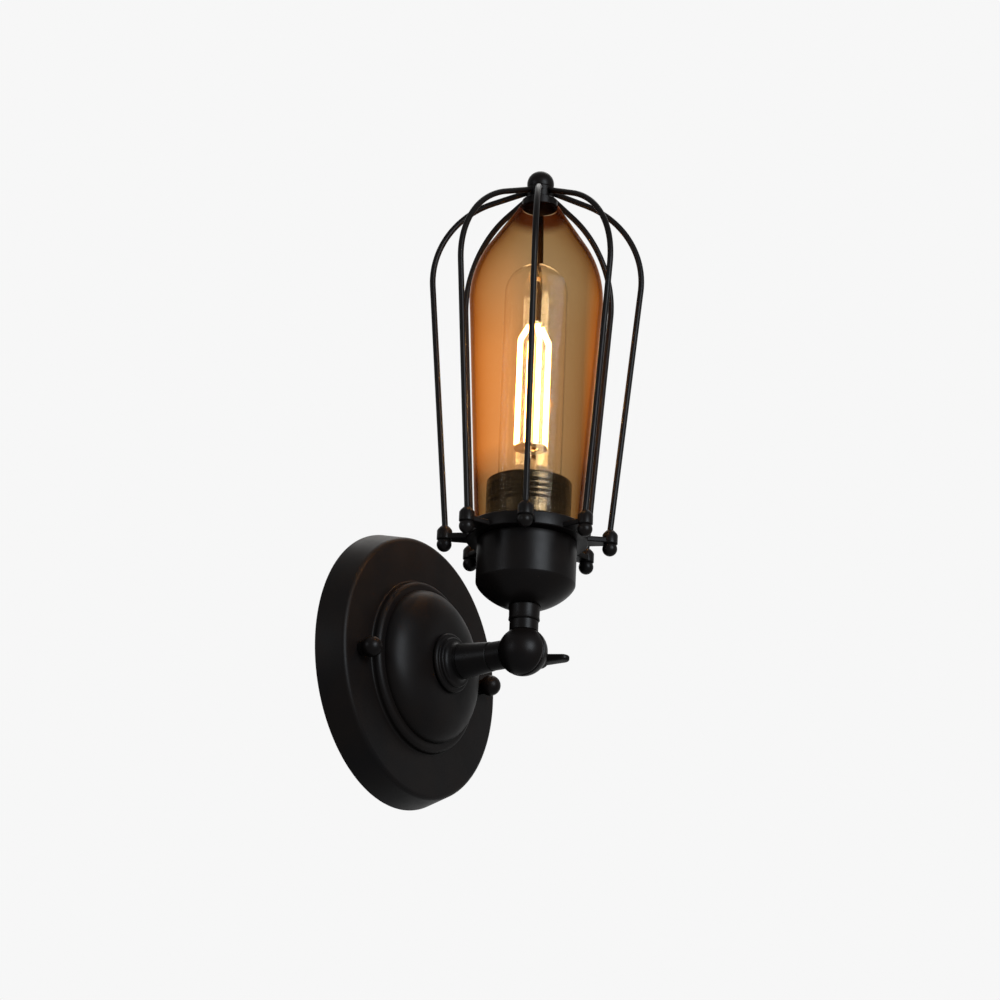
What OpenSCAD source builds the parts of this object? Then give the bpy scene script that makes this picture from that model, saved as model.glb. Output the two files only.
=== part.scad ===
// Wall light with a wire cage, an amber glass and a clamped ball knuckle.
// The wall is the plane y = 0, the light stands out towards -Y, and +Z is up.
// The origin is the middle of the plate's back, on the wall. Millimetres.

/* [Plate on the wall] */
// Diameter of the plate at the wall
plate_d = 130; // [115:1:145]
// Diameter of the plate's front rim
plate_front_d = 123; // [110:1:128]
// Depth of the pan from the wall to its flat front
plate_depth = 14.5; // [12.5:0.5:18]
// Thickness of the plate's sheet
sheet_t = 1.2; // [0.8:0.1:1.4]
// Radius of the rounded front rim
rim_round = 2.5; // [1.8:0.1:3.5]
// Diameter of the raised ring round the dome
step_d = 81; // [77:1:86]
// Straight height of the raised ring
step_h = 1.6; // [1:0.1:2.5]
// Radius of the raised ring's rounded edge
step_round = 2.6; // [2:0.1:3.2]
// Diameter of the dome at its foot
dome_d = 72; // [68:1:74]
// Height of the dome above the raised ring
dome_h = 11.3; // [9.5:0.1:14]
// Diameter of the flat top of the dome
dome_top_d = 28; // [27:0.5:32]
// Distance between the two ball nuts on the plate
stud_pitch = 97.6; // [94:0.2:104]
// Turn of the line of the ball nuts from level, in degrees
stud_turn = 5; // [0:1:12]
// Diameter of the studs
stud_d = 4; // [3:0.5:4.5]
// Diameter of the ball nuts on the plate
plate_nut_d = 9.8; // [8.6:0.1:11]

/* [Straps behind the plate] */
// Length of the strap on the wall box
box_strap_l = 96; // [84:1:104]
// Width of the strap on the wall box
box_strap_w = 18; // [14:1:22]
// Distance between the two slots for the box screws
box_slot_pitch = 60.3; // [56:0.1:64]
// End-to-end length of each slot
box_slot_l = 12; // [9:0.5:14]
// Width of each slot
box_slot_w = 4.4; // [3.6:0.1:5]
// Thickness of both straps
strap_t = 1.5; // [1:0.1:2]
// Width of the strap that carries the studs
stud_strap_w = 16; // [13:1:18]
// Length of the strap beyond each stud
stud_strap_end = 6; // [4:0.5:8]
// Diameter of the rivet between the straps
rivet_d = 4.8; // [4:0.1:6]

/* [Arm] */
// Distance from the wall to the centre of the ball
arm_reach = 71; // [66:0.5:80]
// Height of the collar on the dome
collar_h = 8.4; // [7:0.1:10]
// Diameter of the collar's upper step
collar_step_d = 23.4; // [21:0.2:25]
// Diameter of the arm where it leaves the collar
arm_root_d = 16.6; // [15:0.2:18]
// Diameter of the arm where it meets the knuckle
arm_tip_d = 13.6; // [13:0.1:15]
// Bore of the arm and of the neck, for the leads
lead_bore_d = 7.2; // [6.4:0.1:7.6]
// Diameter of the threaded tube ends
tube_thread_d = 10; // [9.4:0.1:10.4]

/* [Ball knuckle] */
// Diameter of the ball
ball_d = 23; // [22:0.2:26]
// Diameter of the stubs on the two halves
stub_d = 13.4; // [13:0.1:14.6]
// Thickness of the friction washer between the halves
washer_t = 1; // [0.6:0.1:1.6]
// Diameter of the clamping screw
clamp_d = 5; // [4:0.5:5]
// Distance from the ball's centre to the end of the arm's stub
arm_stub_l = 17; // [15:0.5:20]
// Distance from the ball's centre to the end of the neck's stub
neck_stub_l = 14.6; // [14:0.1:17]
// Distance from the screw's axis to the tip of each wing
wing_reach = 14; // [11:0.5:17]
// Thickness of a wing at its root
wing_root_t = 4.6; // [3.5:0.1:5.5]
// Thickness of a wing at its tip
wing_tip_t = 2.4; // [1.6:0.1:3]

/* [Cup and lampholder] */
// Diameter of the plain collar under the cup
neck_collar_d = 14.8; // [14:0.1:17]
// Height of the cup's underside above the ball's centre
cup_z = 21.6; // [20.6:0.1:25]
// Diameter of the cup
cup_d = 46.4; // [45.8:0.2:49]
// Height of the cup's rounded bottom
cup_round_h = 11.2; // [9:0.1:14]
// Height of the cup from its underside to its rim
cup_h = 31.4; // [30:0.1:34]
// Wall of the cup
cup_wall = 1.2; // [0.9:0.1:1.5]
// Diameter of the lampholder's threaded sleeve
sleeve_d = 39.8; // [39:0.1:40.6]
// Height of the sleeve above the cup's rim
sleeve_h = 29.3; // [28:0.1:32]
// Wall of the sleeve
sleeve_wall = 1.2; // [1:0.1:1.5]
// Pitch of the grooves on the sleeve
groove_pitch = 2.7; // [2.3:0.1:3]
// Number of grooves on the sleeve
groove_count = 4; // [2:1:6]
// Depth of the grooves on the sleeve
groove_depth = 0.5; // [0.3:0.1:0.8]
// Diameter of the lamp cap's thread
cap_d = 26.2; // [25.8:0.1:26.4]
// Diameter of the ring that clamps the cage's foot
shade_ring_d = 44.4; // [43.6:0.1:44.8]
// Height of the ring that clamps the cage's foot
shade_ring_h = 6; // [4.5:0.1:8]

/* [Cage] */
// Number of wires in the cage
wire_count = 8; // [8:1:8]
// Diameter of the wires
wire_d = 2.8; // [2.2:0.1:3.2]
// Largest radius of the cage, to the middle of the wires
cage_r = 49.3; // [46:0.1:54]
// Radius of the circle of ears
ear_circle_r = 38.4; // [36.5:0.1:41]
// Radius of the shoulder bend of each wire
shoulder_r = 42; // [34:0.5:44]
// Rise of the straight upper part of each wire, in degrees
roof_rise = 21; // [18:1:30]
// Height of the wires at the hub, above the ball's centre
roof_z = 228.8; // [222:0.2:238]
// Turn of the first wire from the knuckle axis, in degrees
cage_turn = 32; // [22:0.1:45]
// Outer diameter of the foot ring
gallery_d = 57; // [55:0.2:60]
// Thickness of the foot ring
gallery_t = 3; // [2.4:0.1:3.6]
// Height of the rim that keeps the glass in place
gallery_rim_h = 3; // [2:0.1:4]
// Diameter of the boss on each ear
ear_d = 7.2; // [6.4:0.1:8]
// Diameter of the ball nuts under the ears
wire_nut_d = 7; // [6.2:0.1:8]
// Diameter of the hub at the top
hub_d = 13; // [12:0.1:14]
// Height of the hub
hub_h = 6.8; // [6:0.1:8]
// Diameter of the hub's foot above the glass's mouth
hub_foot_d = 16.8; // [15:0.1:18]
// Diameter of the finial's ball
finial_d = 12.8; // [11:0.1:14]

/* [Glass] */
// Diameter of the glass at its foot
glass_foot_d = 48.8; // [48.2:0.1:50]
// Largest diameter of the glass
glass_d = 63; // [59:0.2:67]
// Height of the widest place above the glass's foot
glass_wide_h = 118; // [110:1:122]
// Radius of the glass's shoulder
glass_shoulder_r = 47; // [44:1:52]
// Slope of the upper part from upright, in degrees
glass_lean = 34; // [32:1:37]
// Diameter of the opening at the top of the glass
glass_mouth_d = 16.8; // [15:0.2:19]
// Thickness of the glass
glass_wall = 1.8; // [1.4:0.1:2.1]

/* [Bulb] */
// Diameter of the bulb
bulb_d = 30; // [28:0.5:32]
// Height of the bulb's top above the lampholder's rim
bulb_out_h = 109.5; // [96:0.5:116]
// Length of each glowing strip
filament_l = 52; // [40:1:56]
// Diameter of each glowing strip
filament_d = 2.6; // [1.8:0.1:3]
// Number of glowing strips
filament_count = 4; // [3:1:6]

/* [Wiring] */
// Diameter of an insulated lead
lead_d = 2.2; // [1.6:0.1:2.4]
// Height of the earth lead's end above its screw
earth_run = 25; // [20:1:30]

/* [Fits] */
// Gap round a piece that turns in its own bore
running_gap = 0.05; // [0.02:0.01:0.08]
// Gap round a piece that is fixed in a hole
fixed_gap = 0.15; // [0.1:0.01:0.3]
// Gap between curved faces of pieces that move past each other
pass_gap = 0.3; // [0.2:0.05:0.5]

/* [Hidden] */
$fn = 96;

black_metal = [0.13, 0.12, 0.12];
zinc = [0.62, 0.63, 0.64];
brass = [0.72, 0.56, 0.27];
ceramic = [0.90, 0.88, 0.83];

// ---- plate ----
plate_r = plate_d / 2;
front_r = plate_front_d / 2;
side_angle = atan((plate_r - front_r) / plate_depth);
ring_z = plate_depth + step_h + step_round;
dome_top_z = ring_z + dome_h;
dome_r = dome_d / 2;
dome_top_r = dome_top_d / 2;
stud_r = stud_d / 2;
stud_hole_r = stud_r + 2 * fixed_gap;
plate_nut_foot = 3.3;
plate_nut_z = plate_depth + plate_nut_foot + plate_nut_d * 0.28;
stud_end_z = plate_nut_z + plate_nut_d / 2 - 3;

// ---- straps ----
straps_z = 2 * strap_t;
stud_nut_flats = 1.75 * stud_d;
stud_nut_h = 0.6 * stud_d;
earth_x = -24;
eye_t = 1;
eye_tongue_l = 6.2;
block_size = [22, 11.5, 10.5];
block_y = stud_strap_w / 2 + 3;
block_way = 9;

// ---- arm and knuckle ----
thread_r = tube_thread_d / 2;
bore_r = lead_bore_d / 2;
collar_top_z = dome_top_z + collar_h;
collar_cove_r = collar_step_d / 2 - 0.9 - arm_root_d / 2;
arm_end_z = arm_reach - arm_stub_l;
arm_spigot_l = 5;
arm_inner_z = dome_top_z - sheet_t - 6.5;
lock_nut_h = 3;
arm_washer_t = 1;
ball_r = ball_d / 2;
clamp_r = clamp_d / 2;
half_gap = washer_t / 2;
pocket_in_r = clamp_r + 1.7;
pocket_out_r = ball_r - 3.2;
pocket_depth = 5.2;
seat_x = ball_r - 1.1;
washer_seat_t = 1;
screw_head_r = clamp_r + 1.7;
screw_head_h = 5.6;
wing_w = 6;
wing_sweep = 2.6;

// ---- cup and lampholder ----
cup_r = cup_d / 2;
cup_flat_r = 7.8;
cup_fullness = 1.42;
cup_top_z = cup_z + cup_h;
cup_ledge_z = cup_top_z - 7;
cup_in_r = cup_r - cup_wall;
cup_ledge_w = 1;
cup_body_t = cup_wall + cup_ledge_w;
nipple_z = ball_r + pass_gap + 0.3;
nipple_top_z = cup_z + cup_body_t + lock_nut_h + 1.5;
sleeve_r = sleeve_d / 2;
sleeve_in_r = sleeve_r - sleeve_wall;
sleeve_top_z = cup_top_z + sleeve_h;
sleeve_flange_h = 3;
sleeve_lip_t = 1;
first_groove_z = sleeve_top_z - 4.6;
groove_w = 0.9;
insert_floor_z = cup_top_z - sleeve_flange_h;
insert_flange_h = 4;
insert_top_z = sleeve_top_z - sleeve_lip_t - fixed_gap;
cap_r = cap_d / 2;
cap_wave = 0.5;
cap_pitch = 3.6;
cap_turns = 5;
cap_z = insert_floor_z + 5.5;
cap_top_z = cap_z + cap_pitch * cap_turns;
shell_t = 0.5;
insert_bore_r = cap_r + running_gap + shell_t + cap_wave / 2 + fixed_gap;
tip_z = cap_z - 3;
terminal_x = 9.5;
terminal_size = [6, 7, 7];
lead_hole_l = 4;

// ---- cage ----
wire_r = wire_d / 2;
gallery_top_z = cup_top_z + gallery_t;
ear_boss_h = 1.5;
ear_top_z = gallery_top_z + ear_boss_h;
ear_cone_h = 2.2;
pin_low_z = cup_top_z - wire_nut_d * 0.6;
wire_nut_z = cup_top_z - wire_nut_d * 0.3;
elbow_z = ear_top_z + ear_cone_h + 1;
pin_r = wire_r - 0.1;
elbow_lap = 0.8;
hub_r = hub_d / 2;
hub_z = roof_z - 4.2;
hub_foot_h = 3;
hub_top_z = hub_z + hub_h;
finial_z = hub_top_z + finial_d * 0.15;
finial_stud_r = 2;
wire_in_hub = 1.8;
shoulder_mid_r = cage_r - shoulder_r;
roof_start_r = shoulder_mid_r + shoulder_r * sin(roof_rise);
roof_start_z = roof_z - (roof_start_r - hub_r) * tan(roof_rise);
shoulder_mid_z = roof_start_z - shoulder_r * cos(roof_rise);
// Lean of a leg that starts at radius r and height z and runs up into the shoulder bend
function leg_lean(r, z) =
    let (dr = r - shoulder_mid_r, dz = shoulder_mid_z - z)
    atan2(dz, dr) - acos(shoulder_r / norm([dr, dz]));
lean = leg_lean(ear_circle_r, elbow_z);
leg_l = sqrt(pow(ear_circle_r - shoulder_mid_r, 2) + pow(elbow_z - shoulder_mid_z, 2) - pow(shoulder_r, 2));
roof_l = (roof_start_r - hub_r) / cos(roof_rise) + wire_in_hub;

// ---- glass ----
glass_z = gallery_top_z;
glass_r = glass_d / 2;
glass_foot_r = glass_foot_d / 2;
glass_wide_z = glass_z + glass_wide_h;
glass_taper = atan((glass_r - glass_foot_r) / glass_wide_h);
glass_mouth_z = glass_wide_z + glass_shoulder_r * sin(glass_lean)
    + (glass_r - glass_shoulder_r * (1 - cos(glass_lean)) - glass_mouth_d / 2 - glass_wall) / tan(glass_lean);

// ---- bulb ----
bulb_r = bulb_d / 2;
bulb_top_z = sleeve_top_z + bulb_out_h;
bulb_neck_r = cap_r - 1.6;
bulb_glass_t = 0.8;
bulb_neck_z = cap_top_z - 3;
filament_z = sleeve_top_z + 18;
filament_at_r = 7;
filament_tip_r = 2.6;
filament_tip_h = 8.6;
filament_tip_lap = 0.6;
filament_slant = atan((filament_at_r - filament_tip_r) / filament_tip_h);
stem_r = 3;
stem_top_z = filament_z - 6;

lead_r = lead_d / 2;

// ======== helpers ========

// Points of an arc round [x, y] from angle a0 to a1
function arc(x, y, r, a0, a1, n = 12) =
    [for (i = [0:n]) let (a = a0 + (a1 - a0) * i / n) [x + r * cos(a), y + r * sin(a)]];

// Points of a quarter of an ellipse round [x, y], from the side to the top
function quarter(x, y, rx, ry, n = 16) =
    [for (i = [0:n]) [x + rx * cos(90 * i / n), y + ry * sin(90 * i / n)]];

function reversed(p) = [for (i = [len(p) - 1:-1:0]) p[i]];

// Puts pieces drawn along +Z onto the wall, so that their z is the distance from the wall
module from_wall(z = 0) rotate([90, 0, 0]) translate([0, 0, z]) children();

// Puts pieces drawn round the ball's centre in their place
module at_ball() translate([0, -arm_reach, 0]) children();

// Turns a piece drawn along +Z to run along +X
module along_x() rotate([0, 90, 0]) children();

module at_studs() rotate([0, 0, stud_turn]) for (s = [-1, 1]) translate([s * stud_pitch / 2, 0, 0]) children();

module tube(r_out, r_in, h) difference() {
    cylinder(r = r_out, h = h);
    translate([0, 0, -1]) cylinder(r = r_in, h = h + 2);
}

module hex_nut(flats, bore, h) difference() {
    cylinder(r = flats / 2 / cos(30), h = h, $fn = 6);
    translate([0, 0, -1]) cylinder(r = bore, h = h + 2);
}

module domed_nut(d, ball_at, foot_r, bore, depth) difference() {
    union() {
        intersection() {
            translate([0, 0, ball_at]) sphere(d = d);
            cylinder(r = d, h = ball_at + d);
        }
        cylinder(r = foot_r, h = ball_at);
    }
    translate([0, 0, -1]) cylinder(r = bore, h = depth + 1, $fn = 32);
}

// Smooth route through a list of points, with n steps between each two
function route_point(p, i, t) =
    let (a = p[max(i - 1, 0)], b = p[i], c = p[i + 1], d = p[min(i + 2, len(p) - 1)])
    0.5 * (2 * b + (c - a) * t + (2 * a - 5 * b + 4 * c - d) * t * t + (3 * b - a - 3 * c + d) * t * t * t);
function route(p, n) = concat([for (i = [0:len(p) - 2], k = [0:n - 1]) route_point(p, i, k / n)], [p[len(p) - 1]]);
function unit(v) = v / norm(v);

// Round lead along a route. side is a direction that the route never follows.
module lead(points, r, side, n = 5, sides = 8) {
    p = route(points, n);
    rings = [for (i = [0:len(p) - 1])
        let (t = unit(p[min(i + 1, len(p) - 1)] - p[max(i - 1, 0)]), u = unit(cross(side, t)), v = cross(t, u))
        for (k = [0:sides - 1]) p[i] + r * (cos(360 * k / sides) * u + sin(360 * k / sides) * v)];
    last = (len(p) - 1) * sides;
    faces = concat(
        [[for (k = [0:sides - 1]) k]],
        [[for (k = [sides - 1:-1:0]) last + k]],
        [for (i = [0:len(p) - 2], k = [0:sides - 1])
            [i * sides + k, (i + 1) * sides + k, (i + 1) * sides + (k + 1) % sides]],
        [for (i = [0:len(p) - 2], k = [0:sides - 1])
            [i * sides + k, (i + 1) * sides + (k + 1) % sides, i * sides + (k + 1) % sides]]);
    polyhedron(points = rings, faces = faces);
}

// ======== plate and wall fixing ========

// Line of the plate's sheet at depth t under its front skin, from the wall to the middle
function plate_line(t) = concat(
    [[plate_r - t / cos(side_angle), 0]],
    arc(front_r - rim_round * (1 - sin(side_angle)) / cos(side_angle), plate_depth - rim_round,
        rim_round - t, side_angle, 90),
    [[step_d / 2 - t, plate_depth - t]],
    arc(step_d / 2 - step_round, plate_depth + step_h, step_round - t, 0, 90),
    quarter(dome_top_r, ring_z - t, dome_r - t - dome_top_r, dome_h),
    [[thread_r + fixed_gap, dome_top_z - t]]);

module backplate() color(black_metal) from_wall() difference() {
    rotate_extrude() polygon(concat(plate_line(0), reversed(plate_line(sheet_t))));
    at_studs() cylinder(r = stud_hole_r, h = plate_depth + 5, $fn = 32);
}

module ball_nuts() color(black_metal) from_wall(plate_depth) at_studs()
    domed_nut(plate_nut_d, plate_nut_z - plate_depth, plate_nut_d * 0.36, stud_r + running_gap,
              stud_end_z - plate_depth + 0.4);

module box_slot() {
    straight = box_slot_l - box_slot_w;
    for (s = [-1, 1]) translate([0, s * straight / 2, -1]) cylinder(d = box_slot_w, h = strap_t + 2, $fn = 32);
    translate([-box_slot_w / 2, -straight / 2, -1]) cube([box_slot_w, straight, strap_t + 2]);
}

module wall_bracket() color(zinc) from_wall() difference() {
    translate([-box_strap_w / 2, -box_strap_l / 2, 0]) cube([box_strap_w, box_strap_l, strap_t]);
    for (s = [-1, 1]) translate([0, s * box_slot_pitch / 2, 0]) box_slot();
    translate([0, 0, -1]) cylinder(r = rivet_d / 2 + running_gap, h = strap_t + 2);
}

module stud_strap() color(zinc) from_wall(strap_t) {
    length = stud_pitch + 2 * stud_strap_end;
    difference() {
        rotate([0, 0, stud_turn]) translate([-length / 2, -stud_strap_w / 2, 0]) cube([length, stud_strap_w, strap_t]);
        at_studs() translate([0, 0, -1]) cylinder(r = stud_r + running_gap, h = strap_t + 2, $fn = 32);
        translate([0, 0, -1]) cylinder(r = rivet_d / 2 + running_gap, h = strap_t + 2);
        at_earth_screw() translate([0, 0, -1]) cylinder(r = stud_r + running_gap, h = strap_t + 2, $fn = 32);
    }
}

module strap_rivet() color(zinc) from_wall() {
    cylinder(r = rivet_d / 2, h = straps_z);
    translate([0, 0, straps_z]) cylinder(r1 = rivet_d * 0.85, r2 = rivet_d * 0.6, h = 1.2);
}

module bracket_studs() color(zinc) from_wall() at_studs()
    translate([0, 0, strap_t + 0.2]) cylinder(r = stud_r, h = stud_end_z - strap_t - 0.2, $fn = 32);

module stud_nuts() color(zinc) from_wall(straps_z) at_studs()
    hex_nut(stud_nut_flats, stud_r + running_gap, stud_nut_h);

module at_earth_screw() rotate([0, 0, stud_turn]) translate([earth_x, 0, 0]) children();

module earth_screw() color(brass) from_wall() at_earth_screw() difference() {
    union() {
        translate([0, 0, strap_t + 0.2]) cylinder(r = stud_r, h = strap_t + eye_t - 0.2, $fn = 32);
        translate([0, 0, straps_z + eye_t]) cylinder(r = stud_r * 1.9, h = 2.2, $fn = 48);
    }
    translate([-0.5, -stud_d, straps_z + eye_t + 1.3]) cube([1, 2 * stud_d, 2]);
}

module block_ways(d, h) for (s = [-1, 1]) translate([s * block_way / 2, 0, 0]) cylinder(d = d, h = h, $fn = 24);

module terminal_block() color([0.93, 0.93, 0.9]) from_wall(strap_t) translate([0, block_y, 0]) difference() {
    translate([-block_size[0] / 2, 0, 0]) cube(block_size);
    translate([0, -1, block_size[2] / 2]) rotate([-90, 0, 0]) block_ways(3.4, block_size[1] + 2);
    translate([0, block_size[1] / 2, block_size[2] / 2 + 2]) block_ways(4, block_size[2]);
}

module terminal_block_screws() color(brass)
    from_wall(strap_t + block_size[2] / 2 + 2) translate([0, block_y + block_size[1] / 2, 0])
        block_ways(4 - 2 * running_gap, 2.4);

// Route of one supply lead; s is its side, 1 or -1
function supply_route(s) = let (way_z = strap_t + block_size[2] / 2)
    [[block_way / 2 * s, block_y + 5, way_z], [block_way / 2 * s, block_y + 1, way_z], [4.3 * s, block_y - 3, way_z + 0.85],
     [3 * s, 3.4, 0.38 * dome_top_z], [1.4 * s, 0.9 * s + 0.9, 0.57 * dome_top_z], [-0.6 + s, s, 0.77 * dome_top_z],
     [-1.3, 1.4 * s, dome_top_z], [-1.9, 1.3 * s, collar_top_z], [-1.9, 1.3 * s, arm_end_z - 6],
     [-1.9, 1.3 * s, arm_end_z + 4], [-1.9, 1.3 * s, arm_reach - pocket_in_r - 1.6]];

module supply_leads() for (s = [-1, 1])
    color(s < 0 ? [0.2, 0.35, 0.75] : [0.42, 0.25, 0.15]) from_wall()
        lead(supply_route(s), lead_r, [1, 0.2, 0]);

// Route of the earth lead from the tongue of its eye, with the screw at [0, 0]
function earth_route() = let (h = straps_z + eye_t + 0.3)
    [[eye_tongue_l - 1, -0.2, h], [eye_tongue_l - 0.6, 0.13 * earth_run, h + 0.7],
     [eye_tongue_l - 0.2, 0.34 * earth_run, h + 1.1], [eye_tongue_l, 0.56 * earth_run, h - 0.5],
     [eye_tongue_l + 0.1, 0.78 * earth_run, h - 2.1], [eye_tongue_l + 0.1, earth_run, lead_r + 0.3]];

module earth_lead() color([0.35, 0.62, 0.2]) from_wall() at_earth_screw() {
    translate([0, 0, straps_z]) difference() {
        union() {
            cylinder(r = stud_r * 1.8, h = eye_t);
            translate([0, -lead_r, 0]) cube([eye_tongue_l, 2 * lead_r, eye_t]);
        }
        translate([0, 0, -1]) cylinder(r = stud_r + running_gap, h = eye_t + 2, $fn = 32);
    }
    lead(earth_route(), lead_r, [1, 0, 0]);
}

// ======== arm ========

module arm_collar() color(black_metal) from_wall(dome_top_z) rotate_extrude() polygon(concat(
    [[thread_r + fixed_gap, 0], [dome_top_r - 0.4, 0]],
    arc(dome_top_r - 1.3, 1.3, 1.3, -20, 90, 8),
    [[collar_step_d / 2, 2.6]],
    arc(collar_step_d / 2 - 0.8, 3.6, 0.8, 0, 90, 6),
    reversed(arc(collar_step_d / 2 - 0.9, 4.4 + collar_cove_r, collar_cove_r, 180, 270, 10)),
    [[arm_root_d / 2, collar_h], [thread_r + fixed_gap, collar_h]]));

module arm_tube() color(black_metal) from_wall() difference() {
    union() {
        translate([0, 0, arm_inner_z]) cylinder(r = thread_r, h = collar_top_z - arm_inner_z);
        translate([0, 0, collar_top_z])
            cylinder(r1 = arm_root_d / 2, r2 = arm_tip_d / 2, h = arm_end_z - collar_top_z);
    }
    translate([0, 0, arm_inner_z - 1]) cylinder(r = bore_r, h = arm_end_z);
    translate([0, 0, arm_end_z - arm_spigot_l - fixed_gap]) cylinder(r = thread_r + running_gap, h = arm_spigot_l + 2);
}

module arm_washer() color(zinc) from_wall(dome_top_z - sheet_t - arm_washer_t) difference() {
    tube(thread_r + 4, thread_r + fixed_gap, arm_washer_t);
    for (i = [0:11]) rotate([0, 0, 30 * i]) translate([thread_r + 2.6, -0.6, -1]) cube([3, 1.2, arm_washer_t + 2]);
}

module arm_lock_nut() color(zinc) from_wall(dome_top_z - sheet_t - arm_washer_t - lock_nut_h)
    hex_nut(17, thread_r + running_gap, lock_nut_h);

// ======== ball knuckle ========

// Half ball on the side x > 0 with a stub along +Z and a ring-shaped pocket for the leads.
// tip is the height of the stub's end.
module knuckle_half(tip) difference() {
    union() {
        intersection() {
            sphere(r = ball_r);
            translate([half_gap, -2 * ball_r, -2 * ball_r]) cube(4 * ball_r);
        }
        difference() {
            translate([0, 0, pocket_in_r + 1]) cylinder(r = stub_d / 2, h = tip - pocket_in_r - 1);
            intersection() {
                sphere(r = ball_r + pass_gap);
                translate([half_gap - 4 * ball_r, -2 * ball_r, -2 * ball_r]) cube(4 * ball_r);
            }
        }
    }
    translate([half_gap - 1, 0, 0]) along_x() tube(pocket_out_r, pocket_in_r, pocket_depth + 1);
    translate([0, 0, pocket_in_r + 1.8]) cylinder(r = bore_r, h = tip);
    children();
}

module clamp_bore(from, to) translate([from, 0, 0]) along_x() cylinder(r = clamp_r + running_gap, h = to - from, $fn = 48);

module knuckle_base() color(black_metal) at_ball() rotate([-90, 0, 0]) rotate([0, 0, 180]) union() {
    knuckle_half(arm_stub_l) clamp_bore(-1, ball_r - 2.5);
    translate([0, 0, arm_stub_l]) tube(thread_r, bore_r, arm_spigot_l);
}

module knuckle_head() color(black_metal) at_ball() knuckle_half(neck_stub_l) {
    clamp_bore(-1, ball_r + 1);
    translate([seat_x, -ball_r, -ball_r]) cube(2 * ball_r);
    translate([0, 0, nipple_z - fixed_gap]) cylinder(r = thread_r + running_gap, h = neck_stub_l);
}

module friction_washer() color([0.25, 0.2, 0.16]) at_ball() translate([-half_gap, 0, 0]) along_x()
    tube(ball_r - 0.6, pocket_out_r + 0.2, washer_t);

module wing(s) intersection() {
    linear_extrude(height = wing_root_t + 2, center = true) {
        translate([washer_seat_t + wing_w / 2, 0]) circle(d = wing_w);
        translate([washer_seat_t + wing_w / 2 + wing_sweep, s * (wing_reach - wing_w / 2)]) circle(d = wing_w);
        polygon([[washer_seat_t, 0], [washer_seat_t + wing_w, 0],
                 [washer_seat_t + wing_w + wing_sweep, s * (wing_reach - wing_w / 2)],
                 [washer_seat_t + wing_sweep, s * (wing_reach - wing_w / 2)]]);
    }
    rotate([90, 0, 90]) linear_extrude(height = 20) {
        polygon([[0, -wing_root_t / 2], [s * (wing_reach - wing_tip_t / 2), -wing_tip_t / 2],
                 [s * (wing_reach - wing_tip_t / 2), wing_tip_t / 2], [0, wing_root_t / 2]]);
        translate([s * (wing_reach - wing_tip_t / 2), 0]) circle(d = wing_tip_t, $fn = 32);
    }
}

module wing_screw() color(black_metal) at_ball() {
    translate([-ball_r + 3.2, 0, 0]) along_x() cylinder(r = clamp_r, h = ball_r + seat_x + washer_seat_t - 3.2, $fn = 48);
    translate([seat_x + washer_seat_t, 0, 0]) along_x() cylinder(r1 = screw_head_r, r2 = screw_head_r - 0.8, h = screw_head_h);
    translate([seat_x, 0, 0]) for (s = [-1, 1]) wing(s);
}

module spring_washer() color(zinc) at_ball() translate([seat_x, 0, 0]) along_x() difference() {
    tube(screw_head_r, clamp_r + running_gap, washer_seat_t);
    rotate([0, 0, 200]) translate([0, -0.3, -1]) cube([screw_head_r + 1, 0.6, washer_seat_t + 2]);
}

// ======== neck, cup and lampholder ========

module neck_collar() color(black_metal) at_ball() translate([0, 0, neck_stub_l])
    tube(neck_collar_d / 2, thread_r + fixed_gap, cup_z - neck_stub_l);

module cup_nipple() color(zinc) at_ball() translate([0, 0, nipple_z]) tube(thread_r, bore_r, nipple_top_z - nipple_z);

module cup_lock_nut() color(zinc) at_ball() translate([0, 0, cup_z + cup_body_t]) hex_nut(14, thread_r + running_gap, lock_nut_h);

// Line of the cup's rounded bottom at depth t inside its skin; a fullness of 1 is a cone and 2 an ellipse
function cup_bottom(t) = [for (i = [0:16])
    [cup_flat_r + (cup_r - cup_flat_r - t) * pow(max(cos(90 * i / 16), 0), 2 / cup_fullness),
     cup_round_h - (cup_round_h - t) * pow(sin(90 * i / 16), 2 / cup_fullness)]];

module holder_cup() color(black_metal) at_ball() translate([0, 0, cup_z]) rotate_extrude() polygon(concat(
    [[cup_r, cup_h]], cup_bottom(0), [[thread_r + fixed_gap, 0], [thread_r + fixed_gap, cup_body_t]],
    reversed(cup_bottom(cup_body_t)),
    [[cup_r - cup_body_t, cup_ledge_z - cup_z], [cup_in_r, cup_ledge_z - cup_z], [cup_in_r, cup_h]]));

module holder_insert() color(ceramic) at_ball() difference() {
    union() {
        translate([0, 0, cup_ledge_z]) cylinder(r = cup_in_r - fixed_gap, h = insert_flange_h);
        translate([0, 0, insert_floor_z - 0.5]) cylinder(r = sleeve_in_r - fixed_gap, h = insert_top_z - insert_floor_z + 0.5);
        translate([0, 0, cup_ledge_z - 6]) cylinder(r = 6, h = 7);
    }
    translate([0, 0, insert_floor_z]) cylinder(r = insert_bore_r, h = insert_top_z);
    for (s = [-1, 1]) translate([s * terminal_x, 0, cup_ledge_z - 2]) cylinder(r = stud_r, h = 9, $fn = 32);
}

// Waved line of the lamp cap's thread, moved out by t
function cap_line(t, z0, z1) = [for (i = [0:6 * cap_turns]) let (z = cap_z + cap_pitch * i / 6)
    if (z >= z0 && z <= z1) [cap_r - cap_wave + t + cap_wave * cos(60 * i + 180), z]];

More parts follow.
